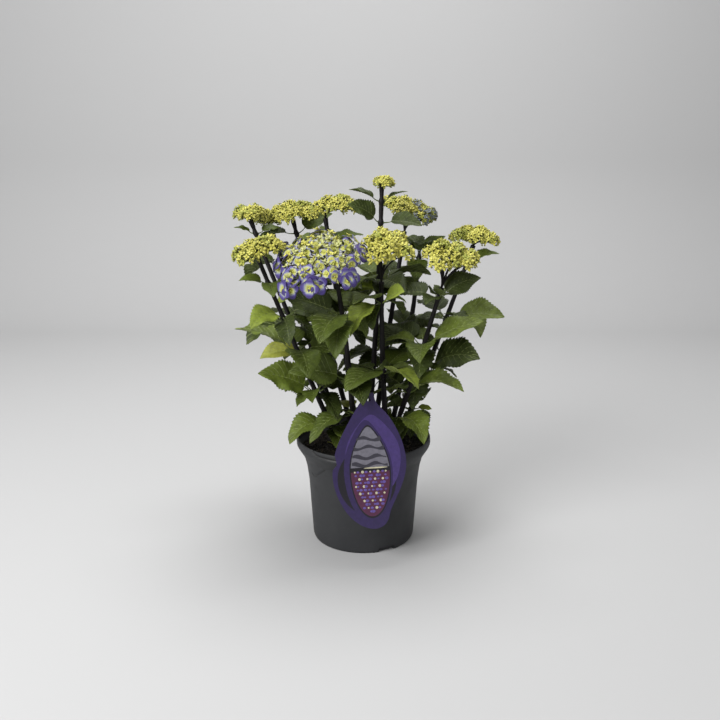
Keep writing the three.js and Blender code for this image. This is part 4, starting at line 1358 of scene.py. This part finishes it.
def build_loop():
    """The elastic loop: a round section carried along the closed curve without twisting."""
    steps, sides = 260, 10
    path = closed_curve(loop_knots(), np.arange(steps) / steps)
    along = unit(np.roll(path, -1, 0) - np.roll(path, 1, 0))
    side = np.cross(along[0], UP)
    frames = []
    for heading in along:
        side = unit(side - heading * (side @ heading))
        frames.append((side, np.cross(heading, side)))
    side, over = (np.array(part)[:, None] for part in zip(*frames))
    a = full_turn(sides)[None, :, None]
    rings = path[:, None] + LOOP_RADIUS * (side * np.cos(a) + over * np.sin(a))
    rings = np.concatenate([rings, rings[:1]])
    shift = int(np.argmin(np.linalg.norm(rings[-2][:, None] - rings[0][None], axis=-1)[0]))
    rings[-1] = np.roll(rings[-1], -shift, 0)
    points = rings.reshape(-1, 3)
    batch = Batch()
    batch.add(points, outward(points, [lattice(steps + 1, sides)]))
    made = batch.piece("loop_elastic", [stem_finish("black_elastic", (16, 15, 18))], "tag_loop")
    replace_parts(made, "tag_loop")


# ---- stage, light and camera ----

CAMERA_PLACE, CAMERA_DOWN, CAMERA_LENS, CAMERA_SENSOR = (-0.006, -1.389, 0.673), 14.5, 42.5, 36
# each softbox: where it stands, where it looks, its side in metres and its power in watts
SOFTBOXES = {"key": ((-1.6, -1.7, 1.8), (0, 0, 0.35), 1.5, 74), "fill": ((1.9, -1.4, 1.3), (0, 0, 0.3), 1.6, 4),
             "top": ((0.1, 0.5, 2.6), (0, 0.7, 0.5), 1.4, 44)}
ROOM_LIGHT, ROOM_STRENGTH = (0.87, 0.87, 0.88, 1), 0.37


def build_stage():
    """A plain pale floor that runs up into a plain wall."""
    bend, depth, height, wide = 0.6, 2.2, 3.2, 5.0
    a = np.linspace(0, 90, 24)
    y = np.concatenate([[-4.0], depth - bend + bend * sind(a), [depth]])
    z = np.concatenate([[0.0], bend - bend * cosd(a), [height]])
    x = np.array([-wide, wide])
    points = np.stack(np.broadcast_arrays(x[None], y[:, None], z[:, None]), -1).reshape(-1, 3)
    mesh = bpy.data.meshes.new("stage_sweep")
    mesh.from_pydata(points.tolist(), [], lattice(len(y), 2, wrapped=False).tolist())
    mesh.polygons.foreach_set("use_smooth", np.ones(len(mesh.polygons), bool))
    mesh.materials.append(Finish("stage_paint", (190, 190, 190), 0.8).material)
    sweep = bpy.data.objects.new("stage_sweep", mesh)
    bpy.context.scene.collection.objects.link(sweep)


def build_light():
    """Square softboxes that look at a point, and an even pale room."""
    for name, (place, aim, size, power) in SOFTBOXES.items():
        data = bpy.data.lights.new(f"{name}_softbox", "AREA")
        data.size, data.energy = size, power
        lamp = bpy.data.objects.new(f"{name}_softbox", data)
        lamp.location = place
        lamp.rotation_euler = (Vector(aim) - Vector(place)).to_track_quat("-Z", "Y").to_euler()
        bpy.context.scene.collection.objects.link(lamp)
    world = bpy.data.worlds.new("studio")
    world.use_nodes = True
    background = world.node_tree.nodes["Background"].inputs
    background["Color"].default_value, background["Strength"].default_value = ROOM_LIGHT, ROOM_STRENGTH
    bpy.context.scene.world = world
    bpy.context.scene.view_settings.view_transform = "Standard"


def build_camera():
    data = bpy.data.cameras.new("camera")
    data.lens, data.sensor_width = CAMERA_LENS, CAMERA_SENSOR
    camera = bpy.data.objects.new("camera", data)
    camera.location = CAMERA_PLACE
    camera.rotation_euler = (math.radians(90 - CAMERA_DOWN), 0, 0)
    bpy.context.scene.collection.objects.link(camera)
    bpy.context.scene.camera = camera


for build in (build_camera, build_light, build_stage, build_pot, build_compost, build_canes, build_heads,
              build_foliage, build_card, build_loop):
    build()
